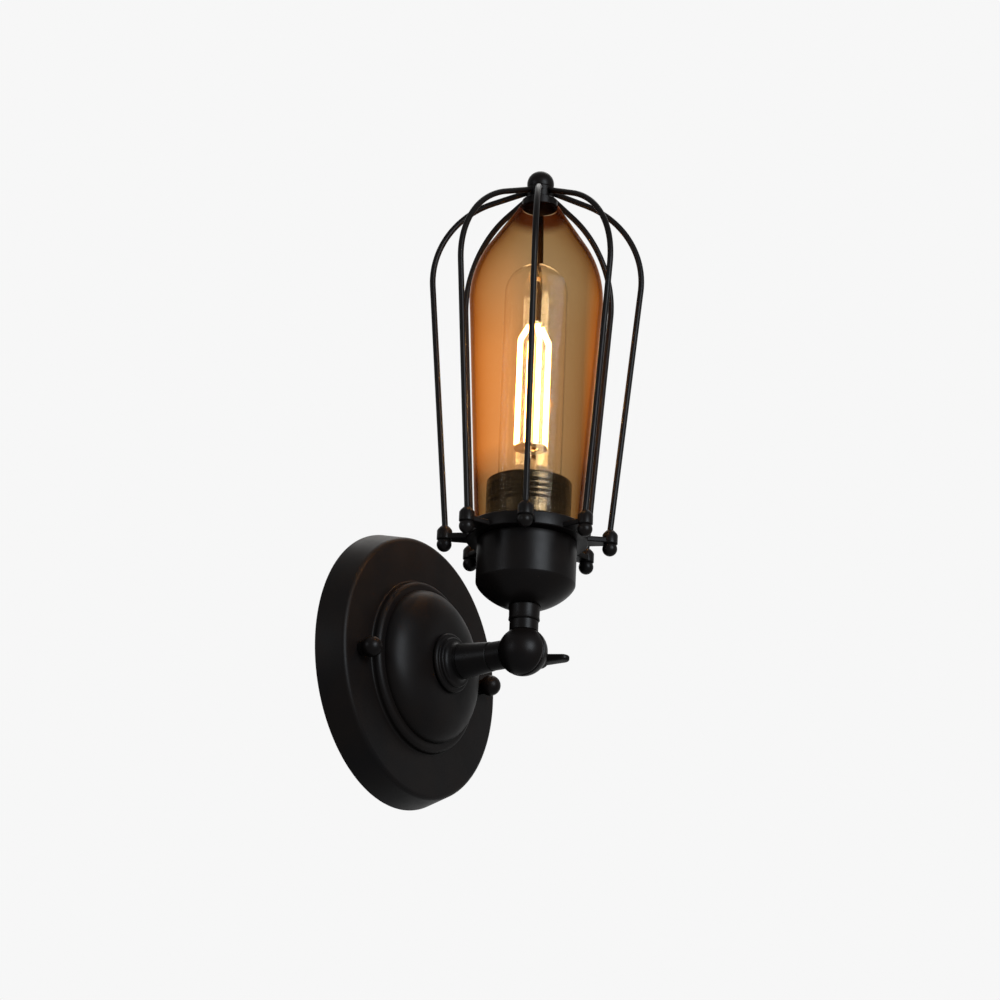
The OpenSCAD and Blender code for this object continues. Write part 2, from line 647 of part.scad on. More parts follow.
module screw_shell() color(brass) at_ball() rotate_extrude() polygon(concat(
    [[cap_r - cap_wave * 2 + running_gap - 2.4, insert_floor_z], [insert_bore_r - fixed_gap / 2, insert_floor_z],
     [insert_bore_r - fixed_gap / 2, insert_top_z - 3]],
    [[cap_r + running_gap, insert_top_z - 3]],
    reversed(cap_line(running_gap, cap_z + 0.1, insert_top_z - 3)),
    [[cap_r - cap_wave * 2 + running_gap, cap_z - 2], [cap_r - cap_wave * 2 + running_gap, insert_floor_z + shell_t],
     [cap_r - cap_wave * 2 + running_gap - 2.4, insert_floor_z + shell_t]]));

module centre_contact() color(brass) at_ball() translate([0, 0, insert_floor_z]) {
    cylinder(r = 4, h = 0.6);
    translate([0, 0, 0.6]) cylinder(r1 = 3, r2 = 2, h = tip_z - insert_floor_z - 0.6 - pass_gap);
}

module holder_terminals() color(brass) at_ball() for (s = [-1, 1]) translate([s * terminal_x, 0, 0]) {
    translate([-terminal_size[0] / 2, -terminal_size[1] / 2, cup_ledge_z - terminal_size[2]]) difference() {
        cube(terminal_size);
        translate([terminal_size[0] / 2, terminal_size[1] / 2, -1]) cylinder(r = lead_r + 0.3, h = lead_hole_l + 1, $fn = 24);
    }
    translate([0, 0, cup_ledge_z]) cylinder(r = stud_r - fixed_gap, h = insert_flange_h - 0.6, $fn = 32);
    translate([0, -terminal_size[1] / 2, cup_ledge_z - 2.6]) rotate([90, 0, 0]) cylinder(r = 2, h = 1.6, $fn = 32);
}

module holder_sleeve() color(black_metal) at_ball() difference() {
    union() {
        translate([0, 0, insert_floor_z]) cylinder(r = cup_in_r - running_gap, h = sleeve_flange_h);
        translate([0, 0, insert_floor_z]) cylinder(r = sleeve_r, h = sleeve_top_z - insert_floor_z - 0.6);
        translate([0, 0, sleeve_top_z - 0.6]) cylinder(r1 = sleeve_r, r2 = sleeve_r - 0.6, h = 0.6);
    }
    translate([0, 0, insert_floor_z - 1]) cylinder(r = sleeve_in_r, h = sleeve_top_z - sleeve_lip_t - insert_floor_z + 1);
    cylinder(r = bulb_r + 1.4, h = sleeve_top_z + 1);
    for (i = [0:groove_count - 1]) translate([0, 0, first_groove_z - i * groove_pitch - groove_w / 2])
        tube(sleeve_r + 1, sleeve_r - groove_depth, groove_w);
}

module shade_ring() color(black_metal) at_ball() translate([0, 0, gallery_top_z]) rotate_extrude() polygon([
    [sleeve_r + running_gap, 0], [shade_ring_d / 2, 0], [shade_ring_d / 2, shade_ring_h * 0.5],
    [shade_ring_d / 2 - 0.8, shade_ring_h * 0.7], [shade_ring_d / 2 - 1, shade_ring_h],
    [sleeve_r + running_gap, shade_ring_h]]);

// ======== cage ========

module at_wire(i) rotate([0, 0, cage_turn + 360 / wire_count * i]) translate([ear_circle_r, 0, 0]) children();

module ear() {
    arm_l = ear_circle_r - gallery_d / 2 + 1;
    translate([0, 0, cup_top_z + 0.2]) linear_extrude(height = gallery_t - 0.4)
        polygon([[-arm_l, -ear_d * 0.62], [0, -ear_d * 0.4], [0, ear_d * 0.4], [-arm_l, ear_d * 0.62]]);
    translate([0, 0, cup_top_z]) cylinder(d = ear_d, h = gallery_t + ear_boss_h, $fn = 48);
    translate([0, 0, ear_top_z]) cylinder(d1 = ear_d, d2 = wire_d + 1, h = ear_cone_h, $fn = 48);
}

module gallery_ring() color(black_metal) at_ball() difference() {
    union() {
        translate([0, 0, cup_top_z]) tube(gallery_d / 2, sleeve_r + fixed_gap, gallery_t);
        translate([0, 0, gallery_top_z - 0.5]) tube(gallery_d / 2, gallery_d / 2 - 1.3, gallery_rim_h + 0.5);
        for (i = [0:wire_count - 1]) at_wire(i) ear();
    }
    for (i = [0:wire_count - 1]) at_wire(i) translate([0, 0, cup_top_z - 1])
        cylinder(r = pin_r + running_gap, h = 12, $fn = 32);
}

module cage_wire(i) color(black_metal) at_ball() at_wire(i) {
    translate([0, 0, pin_low_z]) cylinder(r = pin_r, h = elbow_z + elbow_lap - pin_low_z, $fn = 32);
    translate([0, 0, elbow_z]) rotate([0, lean, 0]) {
        translate([0, 0, -elbow_lap]) cylinder(r = wire_r, h = leg_l + elbow_lap, $fn = 32);
        translate([-shoulder_r, 0, leg_l]) {
            rotate([90, 0, 0]) rotate_extrude(angle = lean + 90 - roof_rise, $fn = 200)
                translate([shoulder_r, 0]) circle(r = wire_r, $fn = 32);
            rotate([0, roof_rise - lean - 90, 0]) translate([shoulder_r, 0, 0])
                cylinder(r = wire_r, h = roof_l, $fn = 32);
        }
    }
}

module wire_nuts() color(black_metal) at_ball() for (i = [0:wire_count - 1]) at_wire(i)
    translate([0, 0, cup_top_z]) mirror([0, 0, 1])
        domed_nut(wire_nut_d, cup_top_z - wire_nut_z, wire_nut_d * 0.4, pin_r + running_gap, cup_top_z - pin_low_z + 0.2);

module cage_hub() color(black_metal) at_ball() difference() {
    union() {
        translate([0, 0, hub_z]) cylinder(r = hub_r, h = hub_h);
        translate([0, 0, hub_z - hub_foot_h]) cylinder(r = hub_foot_d / 2, h = hub_foot_h + 0.4);
    }
    translate([0, 0, hub_z - 1]) cylinder(r = finial_stud_r + running_gap, h = hub_h + 2, $fn = 32);
    for (i = [0:wire_count - 1]) rotate([0, 0, cage_turn + 360 / wire_count * i])
        translate([hub_r, 0, roof_z]) rotate([0, roof_rise - 90, 0]) translate([0, 0, -3])
            cylinder(r = wire_r + running_gap, h = wire_in_hub + 3.05, $fn = 32);
}

module finial() color(black_metal) at_ball() {
    intersection() {
        translate([0, 0, finial_z]) sphere(d = finial_d);
        translate([0, 0, hub_top_z]) cylinder(d = 2 * finial_d, h = 2 * finial_d);
    }
    translate([0, 0, hub_z + 0.5]) cylinder(r = finial_stud_r, h = hub_h, $fn = 32);
}

// ======== glass ========

// Line of the glass at depth t inside its skin
function glass_line(t) = concat(
    [[glass_foot_r - t, glass_z]],
    arc(glass_r - glass_shoulder_r, glass_wide_z, glass_shoulder_r - t, -glass_taper, glass_lean, 24),
    [[glass_mouth_d / 2 + glass_wall - t, glass_mouth_z - t * sin(glass_lean)]]);

module glass_shade() color([0.85, 0.55, 0.25, 0.45]) at_ball() rotate_extrude() polygon(concat(
    glass_line(0), arc(glass_mouth_d / 2 + glass_wall / 2, glass_mouth_z, glass_wall / 2, 0, 180, 8),
    reversed(glass_line(glass_wall))));

// ======== bulb ========

module bulb_skin(t) {
    translate([0, 0, bulb_neck_z]) cylinder(r = bulb_neck_r - t, h = cap_top_z + 4 - bulb_neck_z);
    translate([0, 0, cap_top_z + 4]) cylinder(r1 = bulb_neck_r - t, r2 = bulb_r - t, h = 10);
    translate([0, 0, cap_top_z + 14]) cylinder(r = bulb_r - t, h = bulb_top_z - bulb_r - cap_top_z - 14);
    translate([0, 0, bulb_top_z - bulb_r]) sphere(r = bulb_r - t);
}

module bulb_envelope() color([0.95, 0.95, 0.9, 0.3]) at_ball() difference() {
    bulb_skin(0);
    difference() {
        bulb_skin(bulb_glass_t);
        cylinder(r = bulb_r, h = bulb_neck_z + bulb_glass_t);
    }
}

module bulb_cap() color(brass) at_ball() rotate_extrude() polygon(concat(
    [[bulb_neck_r - 1.5, cap_z - 1], [cap_r - cap_wave * 2, cap_z - 1]],
    cap_line(0, cap_z, cap_top_z),
    [[cap_r - cap_wave * 2, cap_top_z + 1], [bulb_neck_r + fixed_gap, cap_top_z + 1],
     [bulb_neck_r + fixed_gap, bulb_neck_z - 0.3], [bulb_neck_r - 1.5, bulb_neck_z - 0.3]]));

module bulb_insulator() color([0.08, 0.08, 0.09]) at_ball() difference() {
    translate([0, 0, tip_z + 0.8]) cylinder(r1 = 5, r2 = bulb_neck_r - 1.5, h = cap_z - tip_z - 1.8);
    translate([0, 0, tip_z]) cylinder(r = 3 + fixed_gap, h = 10);
}

module bulb_tip() color(zinc) at_ball() translate([0, 0, tip_z]) {
    cylinder(r1 = 3.6, r2 = 4.6, h = 0.8);
    cylinder(r = 3, h = cap_z - tip_z - 1);
}

module bulb_stem() color([0.9, 0.92, 0.95, 0.4]) at_ball() {
    translate([0, 0, bulb_neck_z + bulb_glass_t]) cylinder(r1 = bulb_neck_r - 2, r2 = stem_r, h = 8);
    translate([0, 0, bulb_neck_z + bulb_glass_t + 8]) cylinder(r = stem_r, h = stem_top_z - bulb_neck_z - bulb_glass_t - 8);
}

module at_filament(i) rotate([0, 0, cage_turn + 20 + 360 / filament_count * i])
    translate([filament_at_r, 0, filament_z]) children();

module filaments() color([1, 0.85, 0.45]) at_ball() for (i = [0:filament_count - 1]) at_filament(i) {
    cylinder(d = filament_d, h = filament_l, $fn = 32);
    translate([0, 0, filament_l]) rotate([0, -filament_slant, 0]) translate([0, 0, -filament_tip_lap])
        cylinder(d = filament_d - 0.4, h = filament_tip_h / cos(filament_slant) + filament_tip_lap, $fn = 32);
}

module filament_wires() color(zinc) at_ball() {
    top_z = filament_z + filament_l + filament_tip_h;
    translate([0, 0, stem_top_z]) cylinder(r = 0.5, h = top_z + 1 - stem_top_z, $fn = 16);
    translate([0, 0, top_z + 0.8]) cylinder(r = filament_tip_r + 0.6, h = 0.8, $fn = 48);
    translate([0, 0, filament_z - 1.3]) difference() {
        cylinder(r = filament_at_r + 0.8, h = 0.8);
        translate([0, 0, -1]) cylinder(r = stem_r + 0.2, h = 3);
    }
    for (i = [0:filament_count - 1]) at_filament(i) translate([0, 0, -1]) cylinder(r = 0.4, h = 0.8, $fn = 16);
}

// ======== head wiring ========

// Route of one lead from the knuckle's pocket to its terminal; s is its side, 1 or -1
function holder_route(s) = [[1.9, 1.3 * s, pocket_in_r + 1.6], [1.9, 1.3 * s, neck_stub_l - 2.6], [1.9, 1.3 * s, cup_z - 4.5],
    [1 + 0.8 * s, 0.9 * s, cup_z + 1.5], [1.7 * s, 0.2 * s, nipple_top_z - 0.2],
    [0.46 * terminal_x * s, 0, cup_ledge_z - 13], [(terminal_x - 0.9) * s, 0, cup_ledge_z - 10.4],
    [terminal_x * s, 0, cup_ledge_z - terminal_size[2] - 0.6],
    [terminal_x * s, 0, cup_ledge_z - terminal_size[2] + lead_hole_l - 1.4]];

module holder_leads() for (s = [-1, 1]) color(s < 0 ? [0.2, 0.35, 0.75] : [0.42, 0.25, 0.15]) at_ball()
    lead(holder_route(s), lead_r, [0, 1, 0]);

wall_bracket();
stud_strap();
strap_rivet();
bracket_studs();
stud_nuts();
earth_screw();
terminal_block();
terminal_block_screws();
backplate();
ball_nuts();
arm_collar();
arm_tube();
arm_washer();
arm_lock_nut();
knuckle_base();
friction_washer();
supply_leads();
earth_lead();
wing_screw();
spring_washer();
knuckle_head();
neck_collar();
cup_nipple();
cup_lock_nut();
holder_cup();
holder_insert();
screw_shell();
centre_contact();
holder_terminals();
holder_sleeve();
shade_ring();
gallery_ring();
cage_wire(0);  // cage_wire_1
cage_wire(1);  // cage_wire_2
cage_wire(2);  // cage_wire_3
cage_wire(3);  // cage_wire_4
cage_wire(4);  // cage_wire_5
cage_wire(5);  // cage_wire_6
cage_wire(6);  // cage_wire_7
cage_wire(7);  // cage_wire_8
wire_nuts();
cage_hub();
finial();
glass_shade();
holder_leads();
bulb_envelope();
bulb_cap();
bulb_insulator();
bulb_tip();
bulb_stem();
filaments();
filament_wires();
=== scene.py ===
"""Looks of a wall light with a wire cage, an amber glass and a clamped ball knuckle.

The wall is the plane y = 0, the light stands out towards -Y and +Z is up. Sizes are written in
millimetres in each sub-assembly and become metres when a piece is finished.
"""

import logging
import math
from dataclasses import dataclass, field
from enum import Enum
from typing import Callable, Iterable, Optional, Sequence

import bmesh
import bpy
from mathutils import Matrix, Vector


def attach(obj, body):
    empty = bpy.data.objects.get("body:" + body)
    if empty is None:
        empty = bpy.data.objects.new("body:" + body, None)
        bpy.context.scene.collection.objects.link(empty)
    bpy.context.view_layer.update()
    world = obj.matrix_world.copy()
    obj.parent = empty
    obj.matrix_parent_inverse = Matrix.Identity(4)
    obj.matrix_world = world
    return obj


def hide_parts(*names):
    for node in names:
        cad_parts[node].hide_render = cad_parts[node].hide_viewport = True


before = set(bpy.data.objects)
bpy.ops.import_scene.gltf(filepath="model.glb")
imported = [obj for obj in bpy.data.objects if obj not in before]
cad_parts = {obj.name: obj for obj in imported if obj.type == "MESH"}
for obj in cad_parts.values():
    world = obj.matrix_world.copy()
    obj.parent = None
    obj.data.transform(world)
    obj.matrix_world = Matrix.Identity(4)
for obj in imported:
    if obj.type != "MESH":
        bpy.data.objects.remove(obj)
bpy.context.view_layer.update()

LOG = logging.getLogger("cage_wall_light")
MM = 0.001
# From the wall to the centre of the knuckle's ball
BALL_REACH = 71.0
# The hollow thread that holds the arm, the knuckle and the cup together, and the play of a piece put on it
THREAD_R = 5.0
PLAY = 0.15
Point = tuple[float, float]
Triple = tuple[float, float, float]
Mesh = bmesh.types.BMesh
Socket = bpy.types.NodeSocket
Material = bpy.types.Material


class Body(str, Enum):
    """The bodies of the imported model."""

    WALL = "wall_part"
    WING = "wing_screw"
    HEAD = "head"
    BULB = "bulb"


class Slot(str, Enum):
    """The record's material slots."""

    BLACK = "black_metal"
    ZINC = "zinc_steel"
    BRASS = "brass"
    SOLDER = "solder"
    WHITE_PLASTIC = "white_plastic"
    CERAMIC = "ceramic"
    FIBRE = "fibre"
    LEAD = "lead_insulation"
    EARTH = "earth_insulation"
    AMBER = "amber_glass"
    CLEAR = "clear_glass"
    INSULATOR = "black_insulator"
    FILAMENT = "filament"
    SUPPORT = "support_wire"


# ---------------------------------------------------------------- node trees


@dataclass(frozen=True)
class Pattern:
    """A noise pattern: waves per metre, octaves, weight of the finer ones and the range of it that counts."""

    scale: float
    detail: float = 3.0
    roughness: float = 0.6
    low: float = 0.25
    high: float = 0.75


class Tree:
    """A material's node tree, with short ways to add and join nodes."""

    def __init__(self, name: str) -> None:
        """Starts a material with a Principled shader.

        Args:
            name: The material's name.
        """
        self.material = bpy.data.materials.new(name)
        self.material.use_nodes = True
        self.nodes = self.material.node_tree.nodes
        self.links = self.material.node_tree.links
        self.shader = self.nodes["Principled BSDF"]
        self.output = self.nodes["Material Output"]
        self.place = self.add("ShaderNodeTexCoord").outputs["Object"]

    def add(self, kind: str, **values: object) -> bpy.types.Node:
        """Adds a node.

        Args:
            kind: The node's type name.
            values: Properties, or input sockets with spaces written as underscores.

        Returns:
            The new node.
        """
        node = self.nodes.new(kind)
        for key, value in values.items():
            if key in node.inputs:
                node.inputs[key].default_value = value
            elif key.replace("_", " ") in node.inputs:
                node.inputs[key.replace("_", " ")].default_value = value
            else:
                setattr(node, key, value)
        return node

    def link(self, start: Socket, end: Socket) -> None:
        """Joins two sockets."""
        self.links.new(start, end)

    def set(self, **values: object) -> None:
        """Sets sockets of the shader, with spaces written as underscores."""
        for key, value in values.items():
            self.shader.inputs[key.replace("_", " ")].default_value = value

    def stretched(self, scale: Sequence[float]) -> Socket:
        """Gives object coordinates scaled by axis.

        Args:
            scale: The scale along each axis.

        Returns:
            The scaled coordinates.
        """
        mapping = self.add("ShaderNodeMapping")
        mapping.inputs["Scale"].default_value = scale
        self.link(self.place, mapping.inputs["Vector"])
        return mapping.outputs["Vector"]

    def noise(self, pattern: Pattern, place: Optional[Socket] = None) -> Socket:
        """Gives a noise pattern.

        Args:
            pattern: The pattern's sizes.
            place: Coordinates, or the plain object coordinates.

        Returns:
            The pattern's value, from 0 to 1.
        """
        node = self.add("ShaderNodeTexNoise", Scale=pattern.scale, Detail=pattern.detail,
                        Roughness=pattern.roughness)
        self.link(place or self.place, node.inputs["Vector"])
        return node.outputs["Fac"]

    def ramp(self, value: Socket, low: float, high: float, start: float, end: float) -> Socket:
        """Maps a value from one range to another and holds it at the ends.

        Args:
            value: The value to map.
            low: The value that becomes start.
            high: The value that becomes end.
            start: The result at low.
            end: The result at high.

        Returns:
            The mapped value.
        """
        node = self.add("ShaderNodeMapRange")
        for name, number in (("From Min", low), ("From Max", high), ("To Min", start), ("To Max", end)):
            node.inputs[name].default_value = number
        self.link(value, node.inputs["Value"])
        return node.outputs["Result"]

    def blend(self, factor: Socket, first: Triple, second: Triple) -> Socket:
        """Mixes two colours.

        Args:
            factor: The second colour's share.
            first: The first colour.
            second: The second colour.

        Returns:
            The mixed colour.
        """
        node = self.add("ShaderNodeMix", data_type="RGBA")
        node.inputs[6].default_value = (*first, 1.0)
        node.inputs[7].default_value = (*second, 1.0)
        self.link(factor, node.inputs[0])
        return node.outputs[2]

    def colours(self, pattern: Pattern, first: Triple, second: Triple) -> None:
        """Gives the shader two colours that lie in clouds.

        Args:
            pattern: The clouds' pattern.
            first: The main colour.
            second: The other colour.
        """
        share = self.ramp(self.noise(pattern), pattern.low, pattern.high, 0.0, 1.0)
        self.link(self.blend(share, first, second), self.shader.inputs["Base Color"])

    def roughen(self, value: Socket, pattern: Pattern, smooth: float, rough: float) -> None:
        """Gives the shader a roughness that follows a pattern.

        Args:
            value: The pattern's value.
            pattern: The pattern's sizes.
            smooth: The roughness at the pattern's low end.
            rough: The roughness at its high end.
        """
        self.link(self.ramp(value, pattern.low, pattern.high, smooth, rough), self.shader.inputs["Roughness"])

    def relief(self, height: Socket, depth: float, strength: float) -> None:
        """Gives the shader fine relief.

        Args:
            height: The relief's height, from 0 to 1.
            depth: Its full depth in metres.
            strength: How strongly it shows.
        """
        node = self.add("ShaderNodeBump", Strength=strength, Distance=depth)
        self.link(height, node.inputs["Height"])
        self.link(node.outputs["Normal"], self.shader.inputs["Normal"])


# ---------------------------------------------------------------- finishes


@dataclass(frozen=True)
class SatinPaint:
    """Baked black paint with a fine grain and a tone that varies in clouds."""

    name: str
    colour: Triple = (0.0013, 0.0011, 0.0011)
    tint: Triple = (0.0022, 0.0015, 0.0012)
    roughness: float = 0.44
    spread: float = 0.10
    level: float = 0.035
    grain: float = 1500.0
    depth: float = 0.000012
    clouds: Pattern = Pattern(38.0, 4.0, low=0.35, high=0.7)
    smears: Pattern = Pattern(120.0, 5.0, 0.55)

    def build(self) -> Material:
        """Builds the material.

        Returns:
            The material.
        """
        tree = Tree(self.name)
        tree.colours(self.clouds, self.colour, self.tint)
        tree.roughen(tree.noise(self.smears), self.smears, self.roughness - self.spread / 2,
                     self.roughness + self.spread / 2)
        tree.set(Specular_IOR_Level=self.level)
        tree.relief(tree.noise(Pattern(self.grain, 2.0)), self.depth, 0.7)
        return tree.material


@dataclass(frozen=True)
class BareMetal:
    """Plated or plain metal with fine marks from rolling or turning."""

    name: str
    colour: Triple
    dark: Triple
    roughness: float = 0.34
    grain: float = 900.0
    depth: float = 0.000008
    clouds: Pattern = Pattern(55.0, 5.0, low=0.3, high=0.72)

    def build(self) -> Material:
        """Builds the material.

        Returns:
            The material.
        """
        tree = Tree(self.name)
        grain = Pattern(self.grain)
        marks = tree.noise(grain)
        tree.colours(self.clouds, self.colour, self.dark)
        tree.roughen(marks, grain, self.roughness - 0.08, self.roughness + 0.1)
        tree.set(Metallic=1.0)
        tree.relief(marks, self.depth, 0.6)
        return tree.material


@dataclass(frozen=True)
class Moulded:
    """Moulded plastic, glazed ceramic or fibre: a plain body with its own grain."""

    name: str
    colour: Triple
    shade: Triple
    roughness: float = 0.45
    level: float = 0.5
    grain: float = 700.0
    depth: float = 0.00001
    clouds: Pattern = Pattern(60.0, 4.0, 0.55, 0.3, 0.7)

    def build(self) -> Material:
        """Builds the material.

        Returns:
            The material.
        """
        tree = Tree(self.name)
        grain = Pattern(self.grain)
        marks = tree.noise(grain)
        tree.colours(self.clouds, self.colour, self.shade)
        tree.roughen(marks, grain, self.roughness - 0.05, self.roughness + 0.07)
        tree.set(Specular_IOR_Level=self.level)
        tree.relief(marks, self.depth, 0.6)
        return tree.material


@dataclass(frozen=True)
class SideGlow:
    """Painted orange glow in a glass, standing in for the bulb's light caught in it, by distances in
    millimetres along a level direction and by heights.

    It grows towards the wall, comes back at the edge away from it, and fades in above the foot and out
    below the shoulder.
    """

    colour: Triple = (1.0, 0.29, 0.03)
    strength: float = 0.20
    way: Triple = (-0.55, 0.83, 0.0)
    wall_side: Point = (-61.0, -46.0)
    least: float = 0.1
    far_edge: Point = (-82.0, -88.0)
    far_share: float = 0.9
    foot: Point = (80.0, 94.0)
    shoulder: Point = (205.0, 140.0)

    def light(self, tree: Tree, height: Socket) -> None:
        """Gives a material's shader this light.

        Args:
            tree: The material's nodes.
            height: The height of a point in metres.
        """
        along = tree.add("ShaderNodeVectorMath", operation="DOT_PRODUCT")
        along.inputs[1].default_value = self.way
        tree.link(tree.place, along.inputs[0])
        level = along.outputs["Value"]
        total = self.share(tree, level, self.wall_side, self.least, 1.0)
        for operation, part in (
            ("ADD", self.share(tree, level, self.far_edge, 0.0, self.far_share)),
            ("MULTIPLY", self.share(tree, height, self.foot, 0.0, 1.0)),
            ("MULTIPLY", self.share(tree, height, self.shoulder, 0.0, self.strength)),
        ):
            both = tree.add("ShaderNodeMath", operation=operation)
            tree.link(total, both.inputs[0])
            tree.link(part, both.inputs[1])
            total = both.outputs[0]
        # painted glow: the glass emits this orange light itself, in place of the bulb's light scattered in it
        tree.link(total, tree.shader.inputs["Emission Strength"])
        tree.set(Emission_Color=(*self.colour, 1.0))

    @staticmethod
    def share(tree: Tree, value: Socket, span: Point, start: float, end: float) -> Socket:
        """Maps a length over a span in millimetres to start..end."""
        return tree.ramp(value, span[0] * MM, span[1] * MM, start, end)


@dataclass(frozen=True)
class BlownGlass:
    """Blown glass: tinted, slightly uneven, with painted shade that darkens it at its rim."""

    name: str
    colour: Triple
    ior: float
    # A darker colour painted near the mouth as shade, and the heights in millimetres over which it comes in
    rim: Optional[Triple] = None
    rim_shade_span: Point = (213.0, 216.5)
    ripple: float = 0.00006
    absorb: Triple = (0.58, 0.335, 0.0)
    density: float = 0.0
    coat: float = 0.0
    glow: Optional[SideGlow] = None
    waves: Pattern = Pattern(26.0, 2.0, 0.45)
    wave_stretch: Triple = (1.0, 1.0, 0.35)

    def build(self) -> Material:
        """Builds the material.

        Returns:
            The material.
        """
        tree = Tree(self.name)
        apart = tree.add("ShaderNodeSeparateXYZ")
        tree.link(tree.place, apart.inputs[0])
        height = apart.outputs["Z"]
        tree.set(Base_Color=(*self.colour, 1.0), Transmission_Weight=1.0, Roughness=0.0, IOR=self.ior,
                 Coat_Weight=self.coat)
        # painted shade: the glass turns darker towards its mouth
        if self.rim:
            share = tree.ramp(height, self.rim_shade_span[0] * MM, self.rim_shade_span[1] * MM, 0.0, 1.0)
            tree.link(tree.blend(share, self.colour, self.rim), tree.shader.inputs["Base Color"])
        if self.density:
            within = tree.add("ShaderNodeVolumeAbsorption", Density=self.density, Color=(*self.absorb, 1.0))
            tree.link(within.outputs["Volume"], tree.output.inputs["Volume"])
        if self.glow:
            self.glow.light(tree, height)
        tree.relief(tree.noise(self.waves, tree.stretched(self.wave_stretch)), self.ripple, 1.0)
        return tree.material


@dataclass(frozen=True)
class Glow:
    """Phosphor that glows, a little uneven along its length."""

    name: str
    colour: Triple
    strength: float
    cells: Pattern = Pattern(420.0, 2.0, 0.5)
    hotter: float = 1.15

    def build(self) -> Material:
        """Builds the material.

        Returns:
            The material.
        """
        tree = Tree(self.name)
        hot = tuple(min(1.0, c * self.hotter) for c in self.colour)
        tree.link(tree.blend(tree.noise(self.cells), self.colour, hot), tree.shader.inputs["Emission Color"])
        tree.set(Base_Color=(*self.colour, 1.0), Roughness=0.6, Emission_Strength=self.strength)
        return tree.material


class Finishes:
    """Every finish of the light, built once."""

    def __init__(self) -> None:
        """Builds the materials."""
        self.plate = SatinPaint("black_paint_plate").build()
        self.paint = SatinPaint("black_paint", roughness=0.36, level=0.036).build()
        self.wire = SatinPaint("black_paint_wire", roughness=0.36, level=0.042).build()
        self.holder = SatinPaint("black_bakelite", colour=(0.0016, 0.0014, 0.0013), roughness=0.2,
                                 spread=0.06, level=0.55, grain=900.0, depth=0.000006).build()
        self.zinc = BareMetal("zinc_plate", (0.60, 0.61, 0.63), (0.42, 0.43, 0.46), 0.36).build()
        self.brass = BareMetal("brass", (0.73, 0.53, 0.24), (0.52, 0.36, 0.15), 0.3).build()
        self.solder = BareMetal("solder", (0.55, 0.55, 0.57), (0.38, 0.38, 0.40), 0.42).build()
        self.white = Moulded("white_nylon", (0.80, 0.80, 0.76), (0.72, 0.71, 0.66)).build()
        self.ceramic = Moulded("glazed_ceramic", (0.82, 0.79, 0.72), (0.74, 0.70, 0.62), 0.16).build()
        self.fibre = Moulded("pressed_fibre", (0.012, 0.009, 0.008), (0.007, 0.005, 0.005), 0.8, 0.2,
                             grain=2200.0, depth=0.00004).build()
        self.brown_lead = Moulded("brown_insulation", (0.11, 0.045, 0.02), (0.08, 0.032, 0.015), 0.42).build()
        self.green_lead = Moulded("green_insulation", (0.08, 0.26, 0.05), (0.05, 0.19, 0.04), 0.42).build()
        self.black_glass = Moulded("black_insulator", (0.012, 0.012, 0.014), (0.02, 0.02, 0.024),
                                   0.15).build()
        # The amber glass's rim colour is painted shade at its mouth, and its glow is a painted orange glow.
        self.amber = BlownGlass("amber_glass", (0.74, 0.69, 0.57), 1.012, rim=(0.20, 0.07, 0.03),
                                density=330.0, coat=0.03, glow=SideGlow()).build()
        self.clear = BlownGlass("clear_glass", (0.985, 0.985, 0.98), 1.45, ripple=0.00002).build()
        self.glow = Glow("warm_phosphor", (1.0, 0.66, 0.30), 22.0).build()
        self.support = BareMetal("support_wire", (0.55, 0.50, 0.42), (0.38, 0.34, 0.28), 0.3).build()


# ---------------------------------------------------------------- mesh helpers


def arc(centre: Point, radius: float, start: float, end: float, steps: int = 10) -> list[Point]:
    """Gives points of an arc, with its angles in degrees."""
    turn = [math.radians(start + (end - start) * i / steps) for i in range(steps + 1)]
    return [(centre[0] + radius * math.cos(a), centre[1] + radius * math.sin(a)) for a in turn]


def quarter(centre: Point, wide: float, high: float, steps: int = 24) -> list[Point]:
    """Gives points of a quarter of an ellipse, from its side to its top."""
    turn = [math.pi / 2 * i / steps for i in range(steps + 1)]
    return [(centre[0] + wide * math.cos(a), centre[1] + high * math.sin(a)) for a in turn]


# Edges that turn by more degrees than this are rounded by bevelled
SHARP = 50.0


def spun(profile: Sequence[Point], steps: int = 96, closed: bool = True) -> Mesh:
    """Spins a line of (radius, height) points round Z.

    Args:
        profile: The line's points.
        steps: Faces round the turn.
        closed: Whether the last point joins the first.

    Returns:
        A mesh of the turned shape, closed where the line is closed or ends on the axis.
    """
    bm = bmesh.new()
    verts = [bm.verts.new((max(r, 0.0), 0.0, z)) for r, z in profile]
    edges = [bm.edges.new(pair) for pair in zip(verts, verts[1:])]
    if closed:
        edges.append(bm.edges.new((verts[-1], verts[0])))
    bmesh.ops.spin(bm, geom=verts + edges, cent=(0, 0, 0), axis=(0, 0, 1), angle=2 * math.pi,
                   steps=steps, use_merge=True)
    bmesh.ops.remove_doubles(bm, verts=bm.verts, dist=1e-4)
    bmesh.ops.recalc_face_normals(bm, faces=bm.faces)
    return bm


def bevelled(bm: Mesh, width: float, segments: int = 2) -> Mesh:
    """Rounds a mesh's sharp edges.

    Args:
        bm: The mesh.
        width: The round's width.
        segments: Faces across the round.

    Returns:
        The same mesh.
    """
    limit = math.radians(SHARP)
    sharp = [e for e in bm.edges if len(e.link_faces) == 2 and e.calc_face_angle(0.0) > limit]
    bmesh.ops.bevel(bm, geom=sharp, offset=width, offset_type="OFFSET", segments=segments, profile=0.5,
                    affect="EDGES", material=-1, clamp_overlap=True)
    return bm


